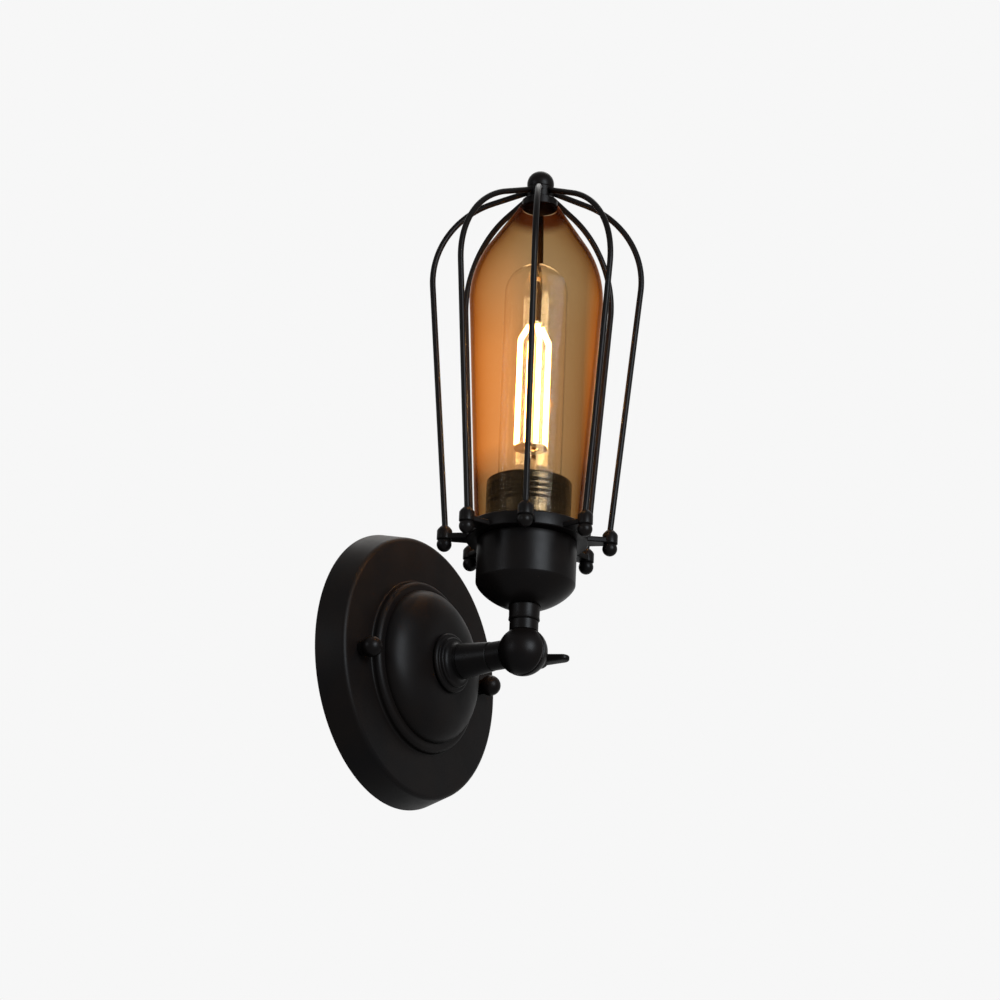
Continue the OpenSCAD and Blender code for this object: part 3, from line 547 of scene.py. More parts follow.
def slab(outline: Sequence[Point], low: float, thick: float) -> Mesh:
    """Makes a flat plate with straight sides.

    Args:
        outline: The points of its outline, from above.
        low: Height of its underside.
        thick: Its thickness.

    Returns:
        The plate's mesh.
    """
    bm = bmesh.new()
    face = bm.faces.new([bm.verts.new((x, y, low)) for x, y in outline])
    made = bmesh.ops.extrude_face_region(bm, geom=[face])["geom"]
    bmesh.ops.translate(bm, vec=(0, 0, thick), verts=[g for g in made if isinstance(g, bmesh.types.BMVert)])
    return bm


def pin(radius: float, low: float, high: float) -> Mesh:
    """Gives an upright round pin on the axis."""
    return spun([(0.0, low), (radius, low), (radius, high), (0.0, high)], 64, closed=False)


def moved(bm: Mesh, matrix: Matrix) -> Mesh:
    """Moves a whole mesh by a matrix."""
    bmesh.ops.transform(bm, matrix=matrix, verts=bm.verts)
    return bm


def joined(parts: Iterable[Mesh]) -> Mesh:
    """Puts several meshes into one, and frees them.

    Args:
        parts: The meshes.

    Returns:
        The mesh that holds them all.
    """
    whole = bmesh.new()
    for part in parts:
        data = bpy.data.meshes.new("part")
        part.to_mesh(data)
        part.free()
        whole.from_mesh(data)
        bpy.data.meshes.remove(data)
    return whole


def carved(base: Mesh, steps: Sequence[tuple[str, Mesh]]) -> Mesh:
    """Unites a mesh with others, or cuts others out of it.

    Args:
        base: The mesh to begin with.
        steps: UNION or DIFFERENCE, each with its mesh.

    Returns:
        The resulting mesh.
    """
    def as_object(bm: Mesh) -> bpy.types.Object:
        """Makes an object of a mesh for the modifiers, and frees the mesh.

        Args:
            bm: The mesh.

        Returns:
            The object, linked to the scene.
        """
        data = bpy.data.meshes.new("carve")
        bm.to_mesh(data)
        bm.free()
        obj = bpy.data.objects.new("carve", data)
        bpy.context.scene.collection.objects.link(obj)
        return obj

    objects = [as_object(base)]
    for operation, tool in steps:
        objects.append(as_object(tool))
        modifier = objects[0].modifiers.new(operation, "BOOLEAN")
        modifier.operation = operation
        modifier.object = objects[-1]
        modifier.solver = "EXACT"
    graph = bpy.context.evaluated_depsgraph_get()
    result = bmesh.new()
    result.from_mesh(bpy.data.meshes.new_from_object(objects[0].evaluated_get(graph)))
    for obj in objects:
        data = obj.data
        bpy.data.objects.remove(obj)
        bpy.data.meshes.remove(data)
    bmesh.ops.remove_doubles(result, verts=result.verts, dist=1e-4)
    return result


class Rod:
    """A round rod that grows from a point in straight lengths and bends."""

    def __init__(self, radius: float, start: Matrix, sides: int = 16) -> None:
        """Starts the rod with a closed end.

        Args:
            radius: The rod's radius.
            start: Its first frame: Z runs along the rod and X is the side that bends go away from.
            sides: Faces round the rod.
        """
        self.bm = bmesh.new()
        self.place = start.copy()
        made = bmesh.ops.create_circle(self.bm, cap_ends=True, segments=sides, radius=radius, matrix=start)
        self.ring = list(dict.fromkeys(e for v in made["verts"] for e in v.link_edges))

    def straight(self, length: float, pieces: int = 1) -> "Rod":
        """Adds a straight length.

        Args:
            length: The length.
            pieces: How many rows of faces it has.

        Returns:
            The rod.
        """
        for _ in range(pieces):
            step = self.place.to_3x3() @ Vector((0, 0, length / pieces))
            made = bmesh.ops.extrude_edge_only(self.bm, edges=self.ring)["geom"]
            verts = [g for g in made if isinstance(g, bmesh.types.BMVert)]
            bmesh.ops.translate(self.bm, verts=verts, vec=step)
            new = set(verts)
            self.ring = [g for g in made if isinstance(g, bmesh.types.BMEdge) and set(g.verts) <= new]
            self.place = Matrix.Translation(step) @ self.place
        return self

    def bend(self, radius: float, angle: float, steps: int = 24) -> "Rod":
        """Adds a bend.

        Args:
            radius: The bend's radius at the rod's middle.
            angle: Its angle, away from the frame's X, or towards it when negative.
            steps: How many rows of faces it has.

        Returns:
            The rod.
        """
        side = 1.0 if angle > 0 else -1.0
        centre = self.place @ Vector((-side * radius, 0, 0))
        axis = self.place.to_3x3() @ Vector((0, -side, 0))
        turn = math.radians(abs(angle))
        verts = list({v for e in self.ring for v in e.verts})
        made = bmesh.ops.spin(self.bm, geom=verts + self.ring, cent=centre, axis=axis, angle=turn,
                              steps=steps, use_merge=False)["geom_last"]
        self.ring = [g for g in made if isinstance(g, bmesh.types.BMEdge)]
        self.place = (Matrix.Translation(centre) @ Matrix.Rotation(turn, 4, axis)
                      @ Matrix.Translation(-centre) @ self.place)
        return self

    def end(self) -> Mesh:
        """Closes the rod's end.

        Returns:
            The rod's mesh.
        """
        bmesh.ops.edgeloop_fill(self.bm, edges=self.ring)
        bmesh.ops.remove_doubles(self.bm, verts=self.bm.verts, dist=1e-5)
        bmesh.ops.recalc_face_normals(self.bm, faces=self.bm.faces)
        return self.bm


ON_WALL = Matrix.Rotation(math.pi / 2, 4, "X")
ALONG_X = Matrix.Rotation(math.pi / 2, 4, "Y")
AT_BALL = Matrix.Translation((0, -BALL_REACH, 0))


@dataclass
class Builder:
    """Turns finished meshes into pieces of the light."""

    finishes: Finishes = field(default_factory=Finishes)

    def piece(self, name: str, bm: Mesh, finish: Material, body: Body, slot: Slot,
              nodes: Sequence[str], angle: float = 32.0) -> bpy.types.Object:
        """Makes an object of a mesh in millimetres and parents it to its body's empty.

        Args:
            name: The piece's name.
            bm: Its mesh, in its place, in millimetres.
            finish: Its material.
            body: The body it moves with.
            slot: The record's slot it is finished as; not used.
            nodes: The CAD nodes it stands for.
            angle: Edges sharper than this stay sharp.

        Returns:
            The object.
        """
        bmesh.ops.scale(bm, vec=(MM, MM, MM), verts=bm.verts)
        data = bpy.data.meshes.new(name)
        bm.to_mesh(data)
        bm.free()
        data.materials.append(finish)
        data.shade_smooth()
        data.set_sharp_from_angle(angle=math.radians(angle))
        obj = bpy.data.objects.new(name, data)
        bpy.context.scene.collection.objects.link(obj)
        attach(obj, body.value)
        if nodes:
            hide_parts(*nodes)
        LOG.info("%s: %d faces, stands for %s", name, len(data.polygons), ", ".join(nodes) or "nothing")
        return obj

    def copied(self, name: str, node: str, finish: Material, body: Body, slot: Slot,
               bevel: float = 0.2, angle: float = 32.0) -> bpy.types.Object:
        """Makes a piece of a CAD node's own shape, with its edges broken.

        Args:
            name: The piece's name.
            node: The CAD node.
            finish: Its material.
            body: The body it moves with.
            slot: The record's slot it is finished as.
            bevel: Width of the broken edges.
            angle: Edges sharper than this stay sharp.

        Returns:
            The object.
        """
        bm = bmesh.new()
        bm.from_mesh(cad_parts[node].data)
        bmesh.ops.scale(bm, vec=(1 / MM, 1 / MM, 1 / MM), verts=bm.verts)
        bmesh.ops.remove_doubles(bm, verts=bm.verts, dist=1e-3)
        bmesh.ops.dissolve_limit(bm, angle_limit=math.radians(0.6), verts=bm.verts, edges=bm.edges)
        if bevel > 0:
            bevelled(bm, bevel)
        return self.piece(name, bm, finish, body, slot, [node], angle)


# ---------------------------------------------------------------- the wall part


@dataclass
class WallPlate:
    """The spun plate on the wall, the straps behind it and its two ball nuts."""

    build: Builder
    plate_r: float = 65.0
    front_r: float = 61.5
    depth: float = 14.5
    sheet: float = 1.2
    rim_round: float = 2.5
    step_r: float = 40.5
    step_h: float = 1.6
    step_round: float = 2.6
    step_foot: float = 1.0
    dome_r: float = 36.0
    dome_h: float = 11.3
    dome_top_r: float = 14.0
    hole_r: float = THREAD_R + PLAY
    stud_pitch: float = 97.6
    stud_turn: float = 5.0
    nut_d: float = 9.8
    nut_foot: float = 3.3
    nut_bore: float = 2.05
    nut_neck: float = 0.36
    nut_sink: float = 0.28

    @property
    def ring_z(self) -> float:
        """Depth of the raised ring's top from the wall."""
        return self.depth + self.step_h + self.step_round

    @property
    def dome_top(self) -> float:
        """Depth of the dome's flat top from the wall."""
        return self.ring_z + self.dome_h

    def line(self, t: float) -> list[Point]:
        """Gives the line of the sheet.

        Args:
            t: Depth under its front skin.

        Returns:
            Its points, from the rim to the hole for the arm.
        """
        side = math.atan((self.plate_r - self.front_r) / self.depth)
        turn = self.rim_round * (1 - math.sin(side)) / math.cos(side)
        foot, ring_in = self.step_foot, self.step_r - self.step_round
        points = [(self.plate_r - t / math.cos(side), 0.0)]
        points += arc((self.front_r - turn, self.depth - self.rim_round), self.rim_round - t,
                      math.degrees(side), 90, 10)
        points += [(self.step_r + foot + 0.2 - t, self.depth - t)]
        points += arc((self.step_r + foot - t, self.depth + foot - t), foot, 270, 200, 5)
        points += arc((ring_in, self.depth + self.step_h), self.step_round - t, 0, 90, 12)
        points += quarter((self.dome_top_r, self.ring_z - t), self.dome_r - t - self.dome_top_r,
                          self.dome_h, 40)
        return points + [(self.hole_r, self.dome_top - t)]

    def at_studs(self, make: Callable[[], Mesh]) -> Mesh:
        """Puts two copies of a mesh at the studs.

        Args:
            make: Makes one copy, drawn round its stud.

        Returns:
            Both in one mesh.
        """
        turn = Matrix.Rotation(math.radians(self.stud_turn), 4, "Z")
        places = [turn @ Matrix.Translation((side * self.stud_pitch / 2, 0, 0)) for side in (-1, 1)]
        return joined(moved(make(), place) for place in places)

    def nut(self) -> Mesh:
        """Gives one ball nut, standing on the plate's front.

        Returns:
            Its mesh.
        """
        ball_r, foot_r = self.nut_d / 2, self.nut_d * self.nut_neck
        centre = self.nut_foot + self.nut_d * self.nut_sink
        low = -math.degrees(math.acos(foot_r / ball_r))
        profile = [(self.nut_bore, 0.0), (foot_r - 0.25, 0.0), (foot_r, 0.25)]
        profile += arc((0.0, centre), ball_r, low, 90, 24)
        return spun(profile + [(0.0, centre - 1.0), (self.nut_bore, centre - 2.2)], 64)

    def make(self) -> None:
        """Builds the plate and its nuts, and dresses what is behind it."""
        f = self.build.finishes
        skin = spun(self.line(0.0) + self.line(self.sheet)[::-1], 256)
        self.build.piece("plate_skin", moved(skin, ON_WALL), f.plate, Body.WALL, Slot.BLACK, ["backplate"])
        nuts = self.at_studs(self.nut)
        nuts = moved(nuts, ON_WALL @ Matrix.Translation((0, 0, self.depth)))
        self.build.piece("plate_ball_nuts", nuts, f.paint, Body.WALL, Slot.BLACK, ["ball_nuts"])
        for node, finish, slot, bevel in (
            ("wall_bracket", f.zinc, Slot.ZINC, 0.2), ("stud_strap", f.zinc, Slot.ZINC, 0.2),
            ("strap_rivet", f.zinc, Slot.ZINC, 0.15), ("bracket_studs", f.zinc, Slot.ZINC, 0.3),
            ("stud_nuts", f.zinc, Slot.ZINC, 0.2), ("earth_screw", f.brass, Slot.BRASS, 0.2),
            ("terminal_block", f.white, Slot.WHITE_PLASTIC, 0.4),
            ("terminal_block_screws", f.brass, Slot.BRASS, 0.2),
            ("arm_washer", f.zinc, Slot.ZINC, 0.1), ("arm_lock_nut", f.zinc, Slot.ZINC, 0.3),
        ):
            self.build.copied(node + "_piece", node, finish, Body.WALL, slot, bevel)


@dataclass
class Arm:
    """The arm with its collar, and the leads that run through it."""

    build: Builder
    foot: float = 30.0
    collar_h: float = 8.4
    collar_r: float = 14.0
    collar_round: float = 1.3
    cove_r: float = 0.5
    step_r: float = 11.7
    step_top: float = 4.4
    step_round: float = 0.8
    step_land: float = 0.9
    root_r: float = 8.3
    tip_r: float = 6.8
    bore_r: float = 3.6
    inner: float = 22.3
    end: float = 54.0
    socket_l: float = 5.1

    def collar(self) -> Mesh:
        """Gives the collar on the dome.

        Returns:
            Its mesh, with its foot at height 0.
        """
        bore, flange, cove, step = THREAD_R + PLAY, self.collar_round, self.cove_r, self.step_round
        sweep = self.step_r - self.step_land - self.root_r
        profile = [(bore, 0.0), (self.collar_r - 0.5, 0.0)]
        profile += arc((self.collar_r - flange, flange), flange, -30, 90, 10)
        profile += arc((self.step_r + cove, 2 * flange + cove), cove, 270, 180, 4)
        profile += arc((self.step_r - step, self.step_top - step), step, 0, 90, 8)
        profile += arc((self.step_r - self.step_land, self.step_top + sweep), sweep, 270, 180, 16)
        return spun(profile + [(self.root_r, self.collar_h), (bore, self.collar_h)], 128)

    def tube(self) -> Mesh:
        """Gives the arm, from its threaded end to the knuckle.

        Returns:
            Its mesh, with the wall at height 0.
        """
        top, edge, floor = self.foot + self.collar_h, 0.4, self.end - self.socket_l
        profile = [(self.bore_r, self.inner), (THREAD_R - edge, self.inner), (THREAD_R, self.inner + edge)]
        profile += [(THREAD_R, top), (self.root_r - 0.3, top), (self.root_r, top + 0.3)]
        profile += [(self.tip_r + 0.1, self.end - edge), (self.tip_r - 0.25, self.end)]
        profile += [(THREAD_R, self.end), (THREAD_R, floor), (self.bore_r, floor)]
        return spun(profile, 96)

    def make(self) -> None:
        """Builds the collar, the arm and the leads behind it."""
        f = self.build.finishes
        raised = ON_WALL @ Matrix.Translation((0, 0, self.foot))
        for node, bm, finish in (("arm_collar", moved(self.collar(), raised), f.plate),
                                 ("arm_tube", moved(self.tube(), ON_WALL), f.paint)):
            self.build.piece(node + "_piece", bm, finish, Body.WALL, Slot.BLACK, [node])
        for node, finish, slot in (("supply_leads", f.brown_lead, Slot.LEAD),
                                   ("earth_lead", f.green_lead, Slot.EARTH)):
            self.build.copied(node + "_piece", node, finish, Body.WALL, slot, 0.0, 60.0)


@dataclass
class Knuckle:
    """The ball knuckle: two half balls, the washer between them and the wing screw."""

    build: Builder
    ball_r: float = 11.5
    stub_r: float = 6.7
    washer_t: float = 1.0
    screw_r: float = 2.5
    gap: float = 0.05
    pass_gap: float = 0.3
    pocket_in: float = 4.2
    pocket_out: float = 8.3
    pocket_depth: float = 5.2
    seat_x: float = 10.4
    cap_t: float = 2.5
    bore_r: float = 3.6
    stub_root: float = 1.0
    bore_root: float = 1.8
    arm_stub_l: float = 17.0
    spigot_l: float = 5.0
    head_stub_l: float = 14.6
    socket_z: float = 11.95
    boss_r: float = 4.2
    boss_h: float = 5.6
    boss_foot: float = 1.0
    boss_round: float = 1.4
    shank_short: float = 3.2
    wing_start: float = 1.0
    wing_reach: float = 14.0
    wing_w: float = 6.0
    wing_sweep: float = 2.6
    wing_root: float = 4.6
    wing_tip: float = 2.4

    def half_ball(self, seated: bool) -> Mesh:
        """Gives the half of the ball on the side x > 0, turned round X.

        Args:
            seated: Whether it has the flat seat for the screw and a bore right through.

        Returns:
            The half ball's mesh.
        """
        flat = self.washer_t / 2
        edge = 0.45
        rim = math.sqrt(self.ball_r ** 2 - flat ** 2)
        start = math.degrees(math.asin((flat + edge) / self.ball_r))
        bore = self.screw_r + self.gap
        profile = [(self.pocket_out, flat), (rim - edge, flat)]
        if seated:
            stop = math.degrees(math.asin(self.seat_x / self.ball_r))
            profile += arc((0, 0), self.ball_r, start, stop, 30)
            profile += [(bore + 0.3, self.seat_x), (bore, self.seat_x - 0.3)]
        else:
            profile += arc((0, 0), self.ball_r, start, 90, 36)
            profile += [(0.0, self.ball_r - self.cap_t), (bore, self.ball_r - self.cap_t)]
        profile += [(bore, flat), (self.pocket_in, flat), (self.pocket_in, flat + self.pocket_depth),
                    (self.pocket_out, flat + self.pocket_depth)]
        return moved(spun(profile, 96), ALONG_X)

    def half(self, tip: float, seated: bool, spigot: float = 0.0, socket: float = 0.0) -> Mesh:
        """Gives a half of the knuckle with its stub along +Z.

        Args:
            tip: Height of the stub's end.
            seated: Whether the wing screw bears on it.
            spigot: Length of a threaded spigot on the stub.
            socket: Height from which the bore is wide enough for a threaded tube.

        Returns:
            Its mesh.
        """
        low, end, edge = self.pocket_in + self.stub_root, tip + spigot, 0.4
        profile = [(0.0, low), (self.stub_r, low), (self.stub_r, tip - edge), (self.stub_r - edge, tip)]
        if spigot:
            profile += [(THREAD_R, tip), (THREAD_R, end - edge), (THREAD_R - edge, end)]
        profile += [(0.0, end)]
        stub = spun(profile, 96, closed=False)
        flat = self.washer_t / 2
        clear = self.ball_r + self.pass_gap
        line = [(0.0, -clear)] + arc((0, 0), clear, -90, math.degrees(math.asin(flat / clear)), 48)
        other = moved(spun(line + [(0.0, flat)], 96, closed=False), ALONG_X)
        stub = carved(stub, [("DIFFERENCE", other)])
        steps = [("UNION", stub), ("DIFFERENCE", pin(self.bore_r, self.pocket_in + self.bore_root, end + 1))]
        if socket:
            steps.append(("DIFFERENCE", pin(THREAD_R + self.gap, socket, tip + 1)))
        return carved(self.half_ball(seated), steps)

    def washer(self) -> Mesh:
        """Gives the fibre washer between the halves.

        Returns:
            Its mesh.
        """
        half, out, inside = self.washer_t / 2, self.ball_r - 0.6, self.pocket_out + 0.2
        return moved(spun([(inside, -half), (out - 0.1, -half), (out, -half + 0.1), (out, half - 0.1),
                           (out - 0.1, half), (inside, half)], 96), ALONG_X)

    def wing(self) -> Mesh:
        """Gives one wing in the plane z = 0, thinner towards its tip.

        Returns:
            Its mesh, reaching along +Y.
        """
        low, wide, sweep = self.wing_start, self.wing_w, self.wing_sweep
        tip = self.wing_reach - wide / 2
        outline = [(low, 0.0), (low + wide, 0.0), (low + wide + sweep, tip)]
        outline += arc((low + wide / 2 + sweep, tip), wide / 2, 0, 180, 14)[1:-1] + [(low + sweep, tip)]
        bm = slab(outline, -0.5, 1.0)
        long_edges = [e for e in bm.edges if abs(e.verts[0].co.y - e.verts[1].co.y) > 4]
        bmesh.ops.subdivide_edges(bm, edges=long_edges, cuts=4, use_grid_fill=True)
        for vert in bm.verts:
            share = min(1.0, vert.co.y / self.wing_reach)
            vert.co.z *= self.wing_root + (self.wing_tip - self.wing_root) * share
        bmesh.ops.recalc_face_normals(bm, faces=bm.faces)
        return bevelled(bm, 0.8, 4)

    def wing_screw(self) -> Mesh:
        """Gives the screw with its boss and two wings.

        Returns:
            Its mesh, with the seat of its washer at x = 0.
        """
        head, seat, edge = self.boss_r, self.boss_foot, 0.5
        low = -self.seat_x - self.ball_r + self.shank_short
        profile = [(0.0, low), (self.screw_r - edge, low), (self.screw_r, low + edge), (self.screw_r, seat)]
        profile += [(head - 0.3, seat), (head, seat + 0.3)]
        profile += arc((self.screw_r, seat + self.boss_h - self.boss_round), self.boss_round, 20, 90, 8)
        boss = moved(spun(profile + [(0.0, seat + self.boss_h)], 64, closed=False), ALONG_X)
        wings = [self.wing(), moved(self.wing(), Matrix.Rotation(math.pi, 4, "X"))]
        return carved(boss, [("UNION", wing) for wing in wings])

    def make(self) -> None:
        """Builds both halves, the washers and the wing screw."""
        f = self.build.finishes
        to_wall = AT_BALL @ Matrix.Rotation(-math.pi / 2, 4, "X") @ Matrix.Rotation(math.pi, 4, "Z")
        arm_half = moved(self.half(self.arm_stub_l, False, spigot=self.spigot_l), to_wall)
        head_half = moved(self.half(self.head_stub_l, True, socket=self.socket_z), AT_BALL)
        self.build.piece("knuckle_arm_half", arm_half, f.paint, Body.WALL, Slot.BLACK, ["knuckle_base"])
        self.build.piece("knuckle_head_half", head_half, f.paint, Body.HEAD, Slot.BLACK, ["knuckle_head"])
        self.build.piece("knuckle_washer", moved(self.washer(), AT_BALL), f.fibre, Body.WALL, Slot.FIBRE,
                         ["friction_washer"])
        screw = AT_BALL @ Matrix.Translation((self.seat_x, 0, 0))
        self.build.piece("wing_screw_piece", moved(self.wing_screw(), screw), f.paint, Body.WING, Slot.BLACK,
                         ["wing_screw"])
        self.build.copied("spring_washer_piece", "spring_washer", f.zinc, Body.WING, Slot.ZINC, 0.1)


# ---------------------------------------------------------------- the head


@dataclass
class Holder:
    """The neck, the cup and the threaded lampholder in it."""

    build: Builder
    neck_z: float = 14.6
    neck_r: float = 7.4
    cup_z: float = 21.6
    cup_r: float = 23.2
    cup_flat: float = 7.8
    cup_round: float = 11.2
    cup_fullness: float = 1.42
    cup_h: float = 31.4
    wall: float = 1.2
    ledge: float = 1.0
    sleeve_r: float = 19.9
    sleeve_h: float = 29.3
    groove_pitch: float = 2.7
    grooves: int = 4
    groove_depth: float = 0.5
    groove_w: float = 1.6
    groove_from: float = 4.6
    sleeve_foot: float = 3.0
    seat_depth: float = 7.0
    ring_r: float = 22.2
    ring_h: float = 6.0
    ring_z: float = 56.0
    mouth_r: float = 16.4

    @property
    def cup_top(self) -> float:
        """Height of the cup's rim."""
        return self.cup_z + self.cup_h

    def collar(self) -> Mesh:
        """Gives the plain collar between the knuckle and the cup.

        Returns:
            Its mesh.
        """
        bore, low, top, wide = THREAD_R + PLAY, self.neck_z, self.cup_z, self.neck_r
        profile = [(bore, low), (wide - 0.5, low), (wide - 0.1, low + 0.5), (wide - 0.3, low + 2.0)]
        profile += [(wide - 0.25, top - 2.4), (wide, top - 0.8), (wide, top), (bore, top)]
        return spun(profile, 96)

    def bottom(self, t: float) -> list[Point]:
        """Gives the line of the cup's rounded bottom, fuller than a cone and less full than an ellipse.

        Args:
            t: Depth inside its skin.

        Returns:
            Its points, from the side to the flat.
        """
        wide, high, power = self.cup_r - self.cup_flat - t, self.cup_round - t, 2 / self.cup_fullness
        steps = 36
        turn = [math.pi / 2 * i / steps for i in range(steps + 1)]
        return [(self.cup_flat + wide * max(math.cos(a), 0.0) ** power,
                 self.cup_z + self.cup_round - high * math.sin(a) ** power) for a in turn]

    def cup(self) -> Mesh:
        """Gives the cup.

        Returns:
            Its mesh.
        """
        body, bore, edge = self.wall + self.ledge, THREAD_R + PLAY, 0.5
        top, seat = self.cup_top, self.cup_top - self.seat_depth
        profile = [(self.cup_r - self.wall, top), (self.cup_r - edge, top), (self.cup_r, top - edge)]
        profile += self.bottom(0.0) + [(bore, self.cup_z), (bore, self.cup_z + body)]
        profile += self.bottom(body)[::-1]
        profile += [(self.cup_r - body, seat), (self.cup_r - self.wall, seat)]
        return spun(profile, 192)

    def sleeve(self) -> Mesh:
        """Gives the sleeve with its grooves.

        Returns:
            Its mesh.
        """
        low, top, wide = self.cup_top - self.sleeve_foot, self.cup_top + self.sleeve_h, self.sleeve_r
        foot = self.cup_r - self.wall - 0.05
        profile = [(wide - self.wall, low), (foot, low), (foot, self.cup_top), (wide, self.cup_top)]
        shape = [(-0.5, 0.0), (-0.2625, 0.75), (0.0, 1.0), (0.2625, 0.75), (0.5, 0.0)]
        for i in reversed(range(self.grooves)):
            z = top - self.groove_from - i * self.groove_pitch
            profile += [(wide - self.groove_depth * deep, z + self.groove_w * at) for at, deep in shape]
        profile += arc((wide - 0.8, top - 0.8), 0.8, 0, 90, 6)
        profile += arc((self.mouth_r + 0.4, top - 0.4), 0.4, 90, 180, 4)
        profile += [(self.mouth_r, top - 1.0), (wide - self.wall, top - 1.0)]
        return spun(profile, 160)

    def shade_ring(self) -> Mesh:
        """Gives the ring that clamps the cage's foot.

        Returns:
            Its mesh.
        """
        low, r, inside = self.ring_z, self.ring_r, self.sleeve_r + 0.05
        half, top, step = low + self.ring_h / 2, low + self.ring_h, r - 1.0
        profile = [(inside, low), (r - 0.2, low), (r, low + 0.2), (r, half)]
        profile += arc((step, half + 0.6), 0.9, 0, 60, 5)
        profile += [(step, top - 0.5), (step - 0.3, top), (inside, top)]
        return spun(profile, 160)

    def make(self) -> None:
        """Builds the holder's pieces."""
        f = self.build.finishes
        for node, bm, finish in (
            ("neck_collar", self.collar(), f.paint), ("holder_cup", self.cup(), f.paint),
            ("holder_sleeve", self.sleeve(), f.holder), ("shade_ring", self.shade_ring(), f.holder),
        ):
            self.build.piece(node + "_piece", moved(bm, AT_BALL), finish, Body.HEAD, Slot.BLACK, [node])
        for node, finish, slot in (
            ("cup_nipple", f.zinc, Slot.ZINC), ("cup_lock_nut", f.zinc, Slot.ZINC),
            ("holder_insert", f.ceramic, Slot.CERAMIC), ("screw_shell", f.brass, Slot.BRASS),
            ("centre_contact", f.brass, Slot.BRASS), ("holder_terminals", f.brass, Slot.BRASS),
        ):
            self.build.copied(node + "_piece", node, finish, Body.HEAD, slot, 0.15)
        self.build.copied("holder_leads_piece", "holder_leads", f.brown_lead, Body.HEAD, Slot.LEAD, 0.0, 60.0)


